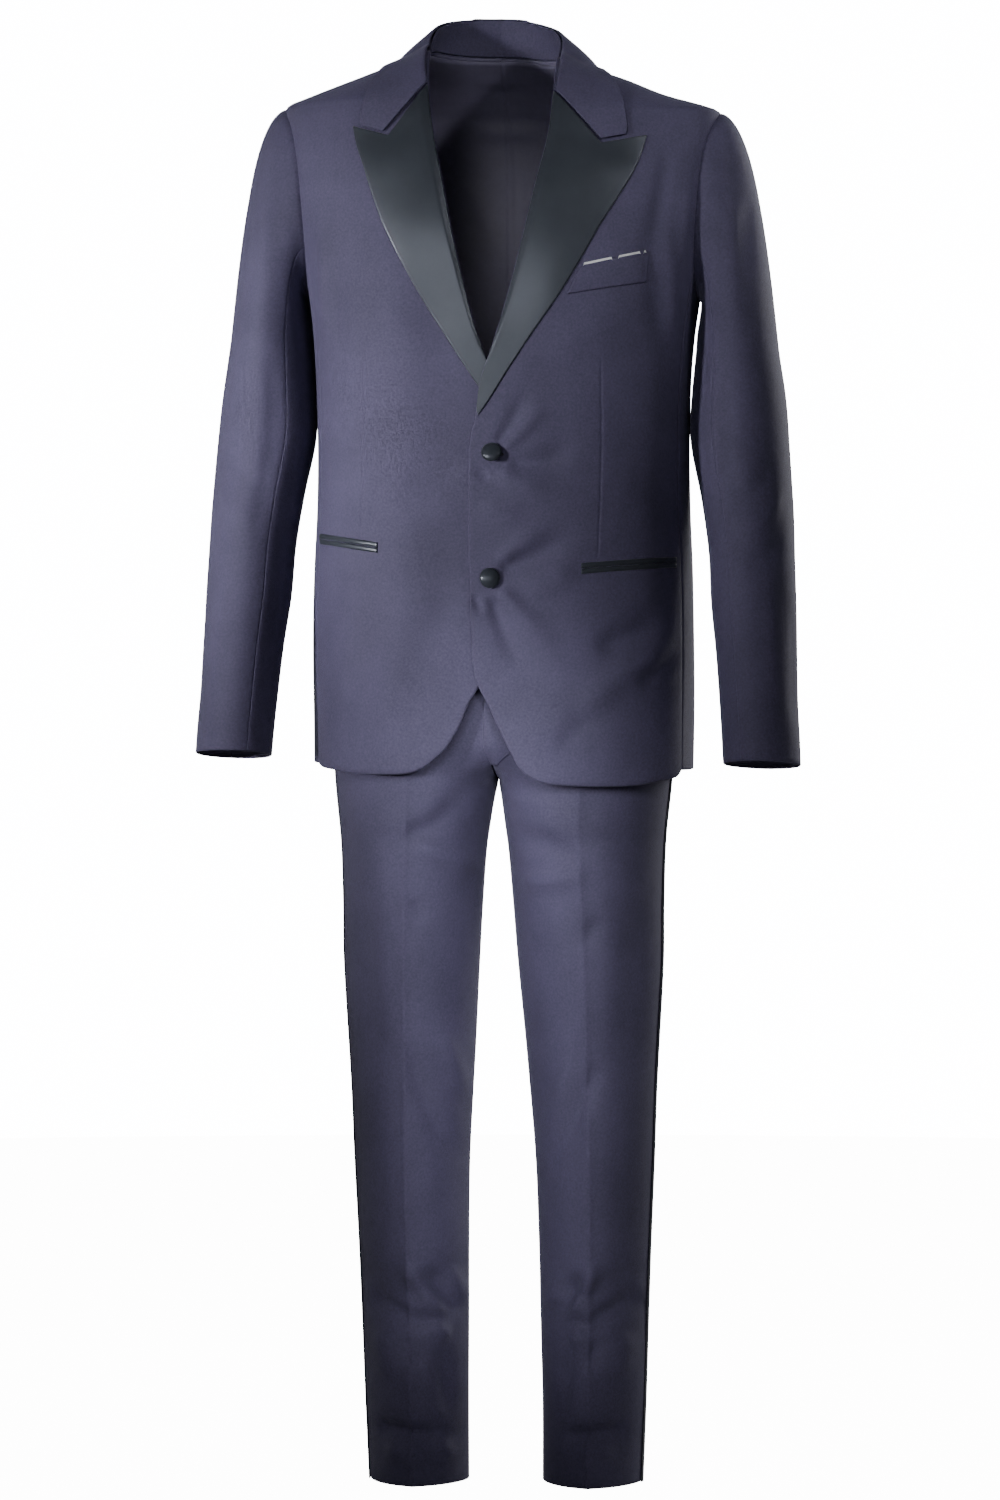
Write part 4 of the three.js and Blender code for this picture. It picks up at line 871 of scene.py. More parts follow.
def sleevePiece(name, label, side, fromK, toK, count):
    c = closeAt(count, near=(0.005, 0.011, 0.02))
    k = mix(fromK, toK, c)
    turn = math.pi / 2 + 2 * math.pi * k / sleeve["steps"]
    t = np.concatenate([[-0.03, -0.015, 0.002, 0.012], np.linspace(0.03, 1, 44)])
    z = np.concatenate([np.linspace(-304, sleeve["cuffZ"] + 1.2, 108), [sleeve["cuffZ"]]])
    grid = np.concatenate([sleeveHead(turn, t), sleeveRing(z[:, None], turn[None, :])])
    normal = gridNormals(grid, joined(np.sin(turn), np.cos(turn), 0)[None])
    roundAt = np.broadcast_to((k * sleeve["step"])[None, :], grid.shape[:2])
    lift = foldSum(roundAt, grid[..., 2], sleeveFolds[label])
    lift = lift + foldSum(roundAt - sleeve["round"], grid[..., 2], sleeveFolds[label])
    down = np.concatenate([np.zeros(len(t)), clamp((z + 300) / -60)])[:, None]
    lift = lift + drift(roundAt, grid[..., 2], 21 if side > 0 else 22, 0.5) * down
    lift = lift * np.concatenate([smooth(t / 0.35), np.ones(len(z))])[:, None]
    puff = 0.8 * np.sin(math.pi * clamp(t / 0.5)) * (t < 0.5)
    lift = lift + np.concatenate([puff, np.zeros(len(z))])[:, None] * clamp(np.sin(turn))[None, :]
    fromEnd = np.minimum(c, 1 - c)[None, :] * (toK - fromK) * sleeve["step"]
    toCuff = np.concatenate([np.full(len(t), 99.0), z - sleeve["cuffZ"]])[:, None]
    lift = lift + seamDip(fromEnd, 0.3) + turnedEdge(toCuff)
    headDip = np.concatenate([-0.5 * bell(clamp(t) * 90, 2), np.zeros(len(z))])[:, None]
    makeCloth(name, grid, lift + headDip, normal, jacket["wool"] * sleeve["thinner"], sided(side, wear),
              ("wool", "lining"), "hung")


for label, side in (("left", 1), ("right", -1)):
    sleevePiece(f"top_sleeve_{label}", label, side, -5, 8, 52)
    sleevePiece(f"under_sleeve_{label}", label, side, 8, 19, 42)
print("suit: sleeves made")

# Lapels and collar
lapelShape = {
    "edge": [(151, -88), (145, -112), (129, -152), (103, -205), (74, -257), (44, -303), (21, -338), (-1, -371),
             (-11, -384)],
    "gorge": (64.5, -43), "notch": (109, -98), "collarTip": (135, -89), "rollEnd": -380, "crossing": -325,
    "long": 380, "wide": 90,
}


# A lapel lies on its front: rows run down the roll line, columns out to the free edge,
# and the top rows are pulled up to the gorge and the peak
def lapel(label, front):
    side, edge = front["side"], lapelShape["edge"]
    v = closeAt(110, near=(0.002, 0.005, 0.009))
    t = closeAt(44, marks=(0.5,), near=(0.007, 0.015, 0.03))
    edgeX, edgeZ = alongLine(edge, v)
    rollZ = mix(lapelShape["gorge"][1], lapelShape["rollEnd"], v)
    rollX = eased(rollZ, frontEdge) + 0.5
    (gx, gz), (nx, nz), (px, pz) = lapelShape["gorge"], lapelShape["notch"], edge[0]
    topX = np.interp(t, [0, 0.5, 1], [gx, nx, px])
    topZ = np.interp(t, [0, 0.5, 1], [gz, nz, pz])
    pull = clamp(1 - v / 0.3)[:, None]
    reach = front["reach"] * t[None, :] * clamp((edgeZ + 190) / 60)[:, None]
    x = mix(rollX[:, None], edgeX[:, None], t[None, :]) + (topX - mix(gx, px, t))[None, :] * pull + reach
    z = mix(rollZ[:, None], edgeZ[:, None], t[None, :]) + (topZ - mix(gz, pz, t))[None, :] * pull
    distance = toX(x, z)
    grid = onBody(distance, z)
    puff = (2.2 * smooth(t / 0.12) * (1 - t))[None, :] * smooth((z - lapelShape["crossing"] + 10) / 60)
    puff = puff + 1.1 * smooth((z + 100) / 30)
    lift = jacket["lie"] + jacket["satin"] + puff + bodyLiftAt(distance, z, side)
    fromEdge = (1 - t)[None, :] * np.linalg.norm(grid[:, -1] - grid[:, 0], axis=-1)[:, None]
    fromTop = v[:, None] * lapelShape["long"]
    rolled = turnedEdge(t[None, :] * lapelShape["wide"], 1.8) * 0.9
    lift = lift + turnedEdge(fromEdge, 1.1) + turnedEdge(fromTop, 1.1) + rolled * smooth((z + 340) / 30)
    lift = lift + 0.35 * np.sin(z / 31.0 + t * 2.0) * (1 - t) * smooth((z + 350) / 80)
    if side < 0:
        lift = lift + deeper(x, z)
    normal = bodyNormal(grid)
    makeCloth(f"lapel_{label}", grid, lift, normal, jacket["satin"], sided(side, wear), ("satin", "wool"), "folded")


# The collar by its share round each half: fold line x, y, z, then outer edge x, y, z
collarTable = np.array([
    [0, 0, 70, 46, 0, 84, -8], [0.2, 34, 62, 44.5, 45, 79, -8], [0.4, 58, 38, 38, 84, 50, -9],
    [0.55, 67, 12, 28, 104, 14, -12], [0.7, 69, -14, 12, 111, -28, -19], [0.85, 67, -48, -12, 124, -64, -42],
    [1, 64.5, -84, -41, 135, -98, -88],
])
collar = {"cloth": 1.7, "notchShare": 0.52, "standEnd": 0.76, "standCloth": 1.8, "seamZ": 5.6, "fallWide": 62}


# The collar's fall: a line from the fold to the outer edge at each share round the neck, bellied out
# behind, led to the gorge and the notch in front, and moved out to lie on the jacket
def collarFall():
    even = np.linspace(-1, 1, 181)
    along = mix(even, np.sin(even * math.pi / 2), 0.6)
    shares = closeAt(40, marks=(collar["notchShare"],), near=(0.012, 0.025, 0.05))
    a = np.abs(along)[:, None]
    fold = joined(*columnsAt(a, collarTable, 1, 3))
    edge = joined(*columnsAt(a, collarTable, 4, 6))
    t = shares[None, :, None]
    line = mix(fold, edge, t)
    notch = collar["notchShare"]
    (gx, gz), (nx, nz), (cx, cz) = lapelShape["gorge"], lapelShape["notch"], lapelShape["collarTip"]
    bend = joined(np.interp(shares, [0, notch, 1], [gx, nx, cx]), line[..., 1],
                  np.interp(shares, [0, notch, 1], [gz, nz, cz]))
    end = smooth((a - 0.8) / 0.2)[..., None]
    belly = 4 * np.sin(math.pi * t) * (1 - end)
    outward = unit(line * np.array([1, 1, 0]) + np.array([0, 0, 25]))
    target = mix(line + outward * belly, bend, end)
    lift = jacket["lie"] + 2.2 + 1.2 * smooth((a - 0.68) / 0.15)
    grid = atLift(target, lift, (end[..., 0] < 0.5) & (shares[None, :] < 1))
    grid[..., 0] *= np.where(along < 0, -1, 1)[:, None]
    reference = unit(grid * np.array([1, 1, 0]) + np.array([0, 0, 10]))
    normal = gridNormals(grid, reference)
    fromFold = shares[None, :] * collar["fallWide"]
    fromEnd = (1 - a) * 150
    lift = turnedEdge(collar["fallWide"] - fromFold, 1.4) + turnedEdge(fromEnd, 1.4) + turnedEdge(fromFold, 2.4)
    makeCloth("collar_fall", grid, lift, normal, collar["cloth"], sided(1, wear), ("wool", "wool"), "folded")


# The stand: a ribbon from the neck seam up to just inside the fold line
def collarStand():
    along = np.linspace(-collar["standEnd"], collar["standEnd"], 121)
    a = np.abs(along)
    fold = joined(*columnsAt(a, collarTable, 1, 3))
    behind = smooth((fold[:, 1] + 40) / 68)
    seamZ = mix(-10, collar["seamZ"], behind)
    foot = joined(fold[:, 0] * 1.05, fold[:, 1] * 1.05, seamZ)
    foot = atLift(foot, mix(-(jacket["wool"] + 0.5), -0.4, behind), np.zeros(len(a), bool))
    foot[:, 2] = seamZ
    outward = unit(fold * np.array([1, 1, 0]))
    top = fold + np.array([0, 0, -3.2]) - outward * 2.6
    shares = closeAt(16, near=(0.02, 0.05, 0.09))
    grid = mix(foot[:, None], top[:, None], shares[None, :, None])
    grid = grid + outward[:, None] * (1.2 * np.sin(math.pi * shares))[None, :, None]
    grid[..., 0] *= np.where(along < 0, -1, 1)[:, None]
    reference = unit(grid * np.array([1, 1, 0]))
    makeCloth("collar_stand", grid, 0, reference, collar["standCloth"], sided(1, wear), ("wool", "wool"), "folded")


for label, front in fronts.items():
    lapel(label, front)
collarFall()
collarStand()
print("suit: lapels and collar made")


# A four-cornered patch on a front, with its height over the panel from rise(u, v)
def patchOn(name, cloth, corners, thickness, side, rise, size=(60, 16), nodes=None, lower=None):
    u, v = closeAt(size[0], near=(0.005, 0.012, 0.02)), closeAt(size[1], near=(0.04, 0.09, 0.15))
    (ax, az), (bx, bz), (cx, cz), (dx, dz) = corners
    u2, v2 = u[None, :], v[:, None]
    x = mix(mix(ax, bx, u2), mix(dx, cx, u2), v2)
    z = mix(mix(az, bz, u2), mix(dz, cz, u2), v2)
    if lower is not None:
        z = z - lower(u2) * (1 - v2)
    distance = toX(x, z)
    grid = onBody(distance, z)
    normal = bodyNormal(grid)
    lift = bodyLiftAt(distance, z, side) + rise(u2, v2)
    if side < 0:
        lift = lift + deeper(x, z)
    makeCloth(name, grid, lift, normal, thickness, sided(side, wear), (cloth, cloth), "laid", nodes)


# The chest pocket: a welt with pressed edges, and a white cloth in it whose edge shows over it in three stretches
welt = {"corners": [(93, -230.5), (160, -213.5), (157, -245), (80, -260)], "thick": 1.4}


def roundedBoth(u, v, width, height, radius=1.2):
    fromEdge = np.minimum(np.minimum(v, 1 - v) * height, np.minimum(u, 1 - u) * width)
    return turnedEdge(fromEdge, radius)


def chestPocket():
    rise = jacket["lie"] + welt["thick"]
    patchOn("chest_welt", "wool", welt["corners"], welt["thick"], 1,
            lambda u, v: rise + roundedBoth(u, v, 70, 31, 1.3))
    ends = [(mix(93, 160, s), mix(-230.5, -213.5, s)) for s in (0.02, 0.98)]
    head = [(x, z + 2.1) for x, z in ends]
    foot = [(x, z - 12.5) for x, z in ends[::-1]]

    def hidden(u):
        shows = sum(smooth((u - start) / 0.015) * smooth((stop - u) / 0.015)
                    for start, stop in ((0.02, 0.45), (0.54, 0.88), (0.93, 0.975)))
        return 3.4 * (1 - shows)

    patchOn("pocket_edge", "white", head + foot, 0.4, 1, lambda u, v: 0.5 + 1.4 * bell(v, 0.14),
            (150, 12), ["pocket_edge_inner", "pocket_edge_middle", "pocket_edge_outer"], hidden)


def jetRise(u, v):
    across = 0.9 * np.sqrt(clamp(1 - (2 * v - 1) ** 2))
    return jacket["lie"] + 1.2 + across - 0.9 + turnedEdge(np.minimum(u, 1 - u) * 92, 1.0)


# A hip pocket: two piped satin jets, each half a round across, with the slit between them
def hipPocket(label, front):
    pocket, side = front["pocket"], front["side"]
    jet, slit = 5.2, 0.5
    for name, sign in (("upper", 1), ("lower", -1)):
        near, far = sign * slit / 2, sign * (slit / 2 + jet)
        corners = [(pocket["inner"], pocket["zInner"] + near), (pocket["outer"], pocket["zOuter"] + near),
                   (pocket["outer"], pocket["zOuter"] + far), (pocket["inner"], pocket["zInner"] + far)]
        patchOn(f"hip_jet_{name}_{label}", "satin", corners, jacket["satin"], side, jetRise, (60, 12))


chestPocket()
for label, front in fronts.items():
    hipPocket(label, front)

# Buttons: a dome covered in satin, profile as radius and height, gathered slightly at the rim.
# Each is turned back and aside by angles in degrees, as its shank lets it hang
buttonShape = {
    "profile": [(0, 0), (3.2, 0), (3.2, 1.9), (7, 2.1), (9.3, 2.4), (10.3, 2.9), (10.5, 3.6), (10.1, 4.6),
                (9.1, 5.7), (7.4, 6.7), (5.2, 7.5), (2.8, 8.0), (0.9, 8.2)],
    "segments": 72, "gathers": 26, "gatherDepth": 0.012, "gatherAt": 2.6, "gatherHalf": 0.9, "gatherFrom": 6,
}


# A place on the worn left front: its point, and its directions out, right and up
def frameAt(x, z):
    seat = onBody(toX(x, z), np.array(float(z)))
    out = bodyNormal(seat)
    lift = float(bodyLiftAt(toX(x, z), np.array(float(z)), 1))
    level = unit(np.cross(out, [0.0, 0.0, 1.0]))
    return wear(seat + out * lift), out, -level, -unit(np.cross(level, out))


def coveredButton(name, x, z, turned, raised):
    seat, out, right, up = frameAt(x, z)
    back, aside = (math.radians(angle) for angle in turned)
    up, out = up * math.cos(back) - out * math.sin(back), out * math.cos(back) + up * math.sin(back)
    right, out = right * math.cos(aside) - out * math.sin(aside), out * math.cos(aside) + right * math.sin(aside)
    profile = np.array(buttonShape["profile"], float)
    knots = np.linspace(0, 1, len(profile))
    shares = np.linspace(0, 1, 46)[1:]
    r = eased(shares, np.column_stack([knots, profile[:, 0]]))
    h = eased(shares, np.column_stack([knots, profile[:, 1]]))
    turn = np.linspace(0, 2 * math.pi, buttonShape["segments"], endpoint=False)
    depth = buttonShape["gatherDepth"] * bell(h - buttonShape["gatherAt"], buttonShape["gatherHalf"])
    depth = depth * (r > buttonShape["gatherFrom"])
    gather = 1 + depth[:, None] * np.sin(turn * buttonShape["gathers"])[None, :]
    spokes = np.cos(turn)[None, :, None] * right + np.sin(turn)[None, :, None] * up
    points = seat + (h[:, None, None] + raised) * out + (r[:, None] * gather)[..., None] * spokes
    index = np.arange(points[..., 0].size).reshape(points.shape[:2])
    index = np.concatenate([index, index[:, :1]], axis=1)
    caps = [[*pair, points[..., 0].size] for pair in np.stack([index[-1, :-1], index[-1, 1:]], -1).tolist()]
    caps += [[*pair, points[..., 0].size + 1] for pair in np.stack([index[0, 1:], index[0, :-1]], -1).tolist()]
    ends = np.array([points[-1].mean(axis=0) + 0.02 * out, points[0].mean(axis=0)])
    flat = np.concatenate([points.reshape(-1, 3), ends])
    uv = np.column_stack([(flat - seat) @ right, (flat - seat) @ up]) / 1000
    piece = makeMesh(name + "_dome", flat, gridFaces(index).tolist() + caps, uv, [cloths["satin"]])
    finishPiece(piece, [name])


# A buttonhole: thread wound over a long ring round the slit; the ring's height ripples stitch by stitch
def buttonhole(name, x, z):
    seat, out, right, up = frameAt(x, z)
    length, width, thread, stitches = 19.0, 2.2, 0.55, 44
    turn = np.linspace(0, 2 * math.pi, 265)[:-1]
    way = joined(signedPower(np.cos(turn), 0.8) * length / 2, signedPower(np.sin(turn), 0.8) * width / 2)
    centre = seat + (way[:, :1] + 2) * right + way[:, 1:] * up + 0.25 * out
    side = unit(np.gradient(np.concatenate([centre[-1:], centre, centre[:1]]), axis=0)[1:-1])
    across = unit(np.cross(side, out))
    spin = np.linspace(0, 2 * math.pi, 11)[:-1]
    size = thread * (1 + 0.22 * np.abs(np.sin(turn * stitches)))
    ring = size[:, None, None] * (np.cos(spin)[None, :, None] * across[:, None] + 0.7 * np.sin(
        spin)[None, :, None] * out)
    points = centre[:, None] + ring
    index = np.arange(points[..., 0].size).reshape(points.shape[:2])
    faces = gridFaces(np.pad(index, (0, 1), "wrap"))[:, [0, 3, 2, 1]]
    uv = np.stack(np.meshgrid(turn, spin, indexing="ij"), -1).reshape(-1, 2) / 400
    piece = makeMesh(name, points.reshape(-1, 3), faces.tolist(), uv, [cloths["thread"]])
    finishPiece(piece, [])


coveredButton("button_upper", *buttonPlaces["upper"], turned=(-26, 0), raised=1.8)
coveredButton("button_lower", *buttonPlaces["lower"], turned=(-4, 18), raised=1.2)
buttonhole("buttonhole_upper", *buttonPlaces["upper"])
buttonhole("buttonhole_lower", *buttonPlaces["lower"])
print("suit: pockets and buttons made")

# Trousers: hip sections as height, half width, front, back; leg sections as height, outer, inner, front,
# back, middle y, exponent; seat rows as side height, leg share, then the centre's front y, z and back y, z
hipTable = np.array([
    [-475, 160, 104, 86], [-510, 164, 108, 91], [-560, 170, 112, 101], [-620, 176, 115, 112],
    [-680, 177.5, 114, 118], [-730, 176, 111, 117], [-800, 170, 106, 112],
])
legTable = np.array([
    [-700, 177, 1, 106, 112, -6, 2.0], [-755, 174, 1, 104, 110, -6, 2.0], [-817, 168, 10.4, 100, 105, -6, 1.9],
    [-880, 166, 15.6, 95, 99, -5, 1.85], [-942, 165.4, 19.8, 90, 94, -4, 1.8], [-1067, 158.6, 29, 82, 86, 1, 1.75],
    [-1150, 155.5, 34.3, 79, 82, 5, 1.7], [-1233, 151.8, 36.4, 76, 79, 10, 1.65],
    [-1317, 148.7, 37.4, 74, 76, 15, 1.65], [-1400, 146, 38.5, 72, 74, 19, 1.6],
    [-1486, 142.5, 38.5, 71, 73, 22, 1.6],
])
seatTable = np.array([
    [-675, 0, -114.3, -675, 117.5, -675], [-703, 0.08, -111, -702, 114, -702], [-724, 0.25, -104, -723, 104, -723],
    [-745, 0.5, -84, -739, 80, -740], [-766, 0.75, -46, -749, 38, -751], [-788, 1, -6, -755, -6, -755],
    [-817, 1, -6, -817, -6, -817],
])
trousers = {"wool": 1.6, "legGap": 0.3, "hemZ": -1485, "stripe": 20, "stripeCloth": 0.9,
            "bandCloth": 2.4, "creaseFrom": -800, "panelWide": 240}
# The pressed crease: a ridge and a shallow dip beside it, as height, distance from the ridge and half width
crease = {"ridge": (1.3, 0, 3.4), "dip": (-0.5, 12, 8)}
# The fly's cover: where its edges and stitching lie from the centre seam, above and at its foot
fly = {"free": -8, "sewn": 28, "stitch": 22, "narrowFrom": -716, "foot": -744, "footFree": -1.5, "footSewn": 7,
       "lift": 1.25, "thick": 1.0}
# The large folds that go round a leg: height at the crease, rise to each side, depth, half height
legFolds = [(-815, -20, 2.5, 16), (-1286, -30, 6, 16), (-1318, -24, 5, 12), (-1434, -4, 5, 14)]
# Folds of the fronts as width and height seen from the front
trouserFolds = [
    ((-96, -803), (-52, -796), (-16, -740), 8, 16, -2.6),
    ((-96, -818), (-44, -834), (-18, -852), 9, 14, 2.6),
    ((-80, -874), (-74, -890), (-66, -908), 8, 8, -1.4),
    ((-88, -1018), (-70, -1088), (-38, -1162), 9, 12, -2.6),
    ((-56, -1010), (-44, -1050), (-32, -1094), 8, 9, 2.0),
    ((-140, -850), (-134, -960), (-126, -1080), 14, 16, -1.4),
    ((-94, -1250), (-74, -1290), (-52, -1312), 8, 8, 3.0, 0.15),
    ((-78, -1252), (-58, -1284), (-44, -1310), 8, 8, -2.6),
    ((-56, -1254), (-44, -1284), (-34, -1304), 8, 8, 2.4),
    ((-142, -1288), (-110, -1300), (-66, -1322), 12, 8, -3.4),
    ((-72, -1316), (-62, -1326), (-50, -1332), 8, 8, 2.8),
    ((-126, -1318), (-120, -1350), (-112, -1382), 12, 14, 2.2),
    ((-100, -1322), (-90, -1348), (-84, -1366), 9, 9, -2.4),
    ((-62, -1336), (-56, -1380), (-56, -1424), 8, 8, -2.2),
    ((-132, -1424), (-98, -1428), (-62, -1434), 8, 8, -3.0, 0.15, 0.15),
    ((-124, -1444), (-98, -1452), (-70, -1456), 9, 9, 2.4),
    ((-66, -1440), (-58, -1450), (-52, -1462), 8, 8, 1.8),
    ((16, -814), (56, -822), (100, -836), 14, 8, -2.6),
    ((22, -862), (64, -856), (106, -850), 12, 9, 2.6),
    ((114, -892), (98, -914), (86, -936), 8, 9, -1.4),
    ((110, -1036), (82, -1100), (58, -1162), 9, 11, -2.6),
    ((84, -1030), (62, -1080), (46, -1128), 8, 9, 1.8),
    ((146, -860), (140, -960), (130, -1080), 14, 16, -1.4),
    ((102, -1248), (84, -1288), (68, -1318), 8, 8, 3.0, 0.15),
    ((84, -1262), (72, -1290), (58, -1312), 8, 8, -2.4),
    ((64, -1256), (54, -1284), (42, -1306), 8, 8, 2.2),
    ((146, -1284), (120, -1298), (78, -1322), 12, 8, -3.4),
    ((90, -1320), (80, -1330), (70, -1336), 8, 8, 2.8),
    ((130, -1320), (124, -1350), (114, -1382), 12, 14, 2.2),
    ((104, -1324), (96, -1350), (88, -1366), 9, 9, -2.4),
    ((74, -1344), (66, -1384), (60, -1420), 8, 8, -2.2),
    ((66, -1434), (96, -1428), (132, -1424), 8, 8, -3.0, 0.15, 0.15),
    ((80, -1452), (100, -1450), (122, -1446), 9, 9, 2.4),
]
# Folds of the backs: under the seat, behind the knee and over the heel
trouserBackFolds = [
    ((-20, -800), (-70, -822), (-140, -812), 10, 14, -2.6),
    ((-26, -826), (-76, -850), (-140, -842), 10, 14, 2.4),
    ((20, -806), (72, -830), (138, -816), 10, 14, -2.6),
    ((24, -834), (78, -856), (138, -850), 10, 14, 2.4),
    ((-136, -1048), (-96, -1066), (-50, -1058), 8, 12, -2.4),
    ((-138, -1076), (-98, -1094), (-52, -1084), 8, 12, 2.2),
    ((136, -1056), (98, -1074), (50, -1064), 8, 12, -2.4),
    ((138, -1084), (98, -1102), (54, -1094), 8, 12, 2.2),
    ((-130, -1360), (-92, -1374), (-54, -1362), 9, 12, -2.4),
    ((130, -1364), (92, -1380), (56, -1366), 9, 12, -2.4),
    ((-84, -900), (-90, -980), (-96, -1040), 10, 14, 1.4),
    ((80, -900), (90, -980), (98, -1050), 10, 14, 1.4),
]


# Hip section: half width times the sine and depth times the cosine, each to the power 0.9
def hipPoint(u, z, back):
    angle = math.pi / 2 * (1 - u)
    depth = eased(z, hipTable, 3 if back else 2) * (1 if back else -1)
    return joined(eased(z, hipTable) * np.sin(angle) ** 0.9, depth * np.abs(np.cos(angle)) ** 0.9, z)


# Leg section: a superellipse about the leg's own middle, from the outer seam at 0 to the inner at 1
def legPoint(u, z, back):
    outer, inner, front, behind, middleY, power = columnsAt(z, legTable, 1, 6)
    angle = math.pi * (0.5 - u)
    across = (outer - inner) / 2 * signedPower(np.sin(angle), 2 / power)
    depth = (behind if back else -front) * clamp(np.cos(angle)) ** (2 / power)
    return joined((outer + inner) / 2 + across, middleY + depth, z)


def foldDepth(u, z, back):
    away = np.abs(u - 0.5) * 2
    share = 0.6 if back else 1.0
    return sum(share * depth * bell(z - (at - rise * away), spread) * np.cos(math.pi * (u - 0.5))
               for at, rise, depth, spread in legFolds)


# A trouser half's front or back: hips above, one leg below, and between them the seat rows,
# whose inner end follows the crotch curve
def trouserGrid(u, z, back):
    gap, (seatTop, legTop, fork) = trousers["legGap"], seatTable[[0, -2, -1], 0]
    u2, z2 = u[None, :], z[:, None]
    share = np.where(z2 > seatTop, 0, eased(z2, seatTable, 1))[..., None]
    point = mix(hipPoint(u2, z2, back), legPoint(u2, z2, back), share)
    centreX = np.interp(z, [fork, legTop], [float(eased(fork, legTable, 2)), gap])
    centre = joined(centreX, *columnsAt(z, seatTable, *((4, 5) if back else (2, 3))))[:, None]
    reach = mix(hipPoint(np.array([[1.0]]), z2, back), legPoint(np.array([[1.0]]), z2, back), share)
    seat = ((z2 <= seatTop) & (z2 > fork))[..., None]
    grid = point + np.where(seat, centre - reach, 0) * (u2**4)[..., None]
    grid[..., 0] = np.maximum(grid[..., 0], gap)
    inward = foldDepth(u2, z2, back) * smooth((trousers["creaseFrom"] - z2) / 20)
    grid[..., 1] += (-1 if back else 1) * inward
    return grid


def trouserPanel(label, side, back):
    u = closeAt(60, marks=(0.5,), near=(0.006, 0.013, 0.026))
    z = np.concatenate([np.linspace(-512, -700, 36), np.linspace(-704, -820, 42),
                        np.linspace(-824, trousers["hemZ"] + 1.4, 160), [trousers["hemZ"]]])
    grid = trouserGrid(u, z, back)
    u2, z2 = u[None, :], z[:, None]
    normal = gridNormals(grid, joined(np.sin(math.pi * (0.5 - u2)) * 0.6, 1.0 if back else -1.0, 0))
    window = 1 - np.abs(2 * u2 - 1) ** 5
    x = grid[..., 0] * side
    folds = trouserBackFolds if back else trouserFolds
    lift = foldDepths["trousers"] * foldSum(x, grid[..., 2], folds) * window
    lift = lift + drift(x, grid[..., 2], 31 + 2 * back + (side > 0), 0.5) * window * smooth((-780 - z2) / 60)
    creased = smooth((-640 - z2) / 80)
    creaseX = legPoint(0.5, np.minimum(z, trousers["creaseFrom"]), back)[:, :1]
    fromCrease = np.abs(grid[..., 0] - creaseX)
    pressed = sum(height * bell(fromCrease - at, wide) for height, at, wide in crease.values())
    outer, inner = u2 * trousers["panelWide"], (1 - u2) * trousers["panelWide"]
    lift = lift + pressed * creased + seamDip(outer) + seamDip(inner) * 0.8
    lift = lift + turnedEdge(z2 - trousers["hemZ"], 1.2)
    name = f"trouser_{'back' if back else 'front'}_{label}"
    makeCloth(name, grid, lift, normal, trousers["wool"], sided(side, stand), ("wool", "wool"), "hung")


# The side stripe: a satin band over the outer seam, worked out from the two panels' rows
def sideStripe(label, side):
    u = np.linspace(0, 0.3, 60)
    z = np.concatenate([np.linspace(-512, -820, 70), np.linspace(-824, trousers["hemZ"], 150)])
    front, back = trouserGrid(u, z, False), trouserGrid(u, z, True)
    reach = trousers["stripe"] / 2
    across = np.array([0, 0.3, 0.8, 1.8, 3.5, 6, 9]) / 10 * reach
    offsets = np.concatenate([reach - across, [0.0], -(reach - across)[::-1]])
    away = np.broadcast_to(offsets, (len(z), len(offsets)))
    onFront = offsets >= 0
    grid = np.concatenate([alongRows(front, away[:, onFront]), alongRows(back, -away[:, ~onFront])], axis=1)
    outward = np.array([1.0, 0, 0])
    normal = unit(mix(gridNormals(grid, outward), outward, 0.5))
    fromEdge = reach - np.abs(offsets)[None, :]
    lift = jacket["lie"] + trousers["stripeCloth"] + turnedEdge(fromEdge, 0.9)
    makeCloth(f"side_stripe_{label}", grid, lift, normal, trousers["stripeCloth"], sided(side, stand),
              ("satin", "satin"), "hung")


# The waistband: the hip section's line at the top of the trousers, from one front end round to the other
def waistband():
    turn = np.concatenate([[-1.995, -1.99], np.linspace(-1.97, 1.97, 180), [1.99, 1.995]])
    z = np.concatenate([[-475, -476], np.linspace(-479, -508, 12), [-510.6, -511.6]])
    behind = np.abs(turn) < 1
    u = np.where(behind, 1 - np.abs(turn), np.abs(turn) - 1)
    grid = np.where(behind[None, :, None], hipPoint(u[None, :], z[:, None], True),
                    hipPoint(u[None, :], z[:, None], False))
    grid[..., 0] *= np.where(turn < 0, -1, 1)[None, :]
    reference = unit(grid * np.array([1, 1.6, 0]))
    edge = np.minimum(np.abs(z + 475), np.abs(z + 511.6))[:, None]
    makeCloth("waistband", grid, turnedEdge(edge, 1.2), reference, trousers["bandCloth"], stand,
              ("wool", "lining"), "hung")


# The fly's cover: a strip on the left front, its free edge just past the centre seam. Each row is measured out
# from the seam along the panel's own row, and the strip narrows as it runs down into the fork
def flyCover():
    z = np.concatenate([np.linspace(-516, -700, 60), np.linspace(-703, fly["foot"], 36)])
    panel = trouserGrid(np.linspace(1, 0.55, 80), z, False)
    narrow = smooth((fly["narrowFrom"] - z) / (fly["narrowFrom"] - fly["foot"]))[:, None]
    shares = closeAt(26, near=(0.02, 0.05))[None, :]
    away = mix(mix(fly["free"], fly["footFree"], narrow), mix(fly["sewn"], fly["footSewn"], narrow), shares)
    grid = alongRows(panel, np.abs(away))
    grid[..., 0] *= np.where(away < 0, -1, 1)
    normal = gridNormals(grid, [0, -1, 0])
    width = away[:, -1:] - away[:, :1]
    edge = np.minimum(shares, 1 - shares) * width
    stitch = -0.3 * bell(away - mix(fly["stitch"], fly["footSewn"] - 1, narrow), 0.8)
    lift = fly["lift"] + turnedEdge(edge, 0.9) + stitch * smooth((width - 8) / 8)
    makeCloth("fly", grid, lift, normal, fly["thick"], stand, ("wool", "wool"), "hung")


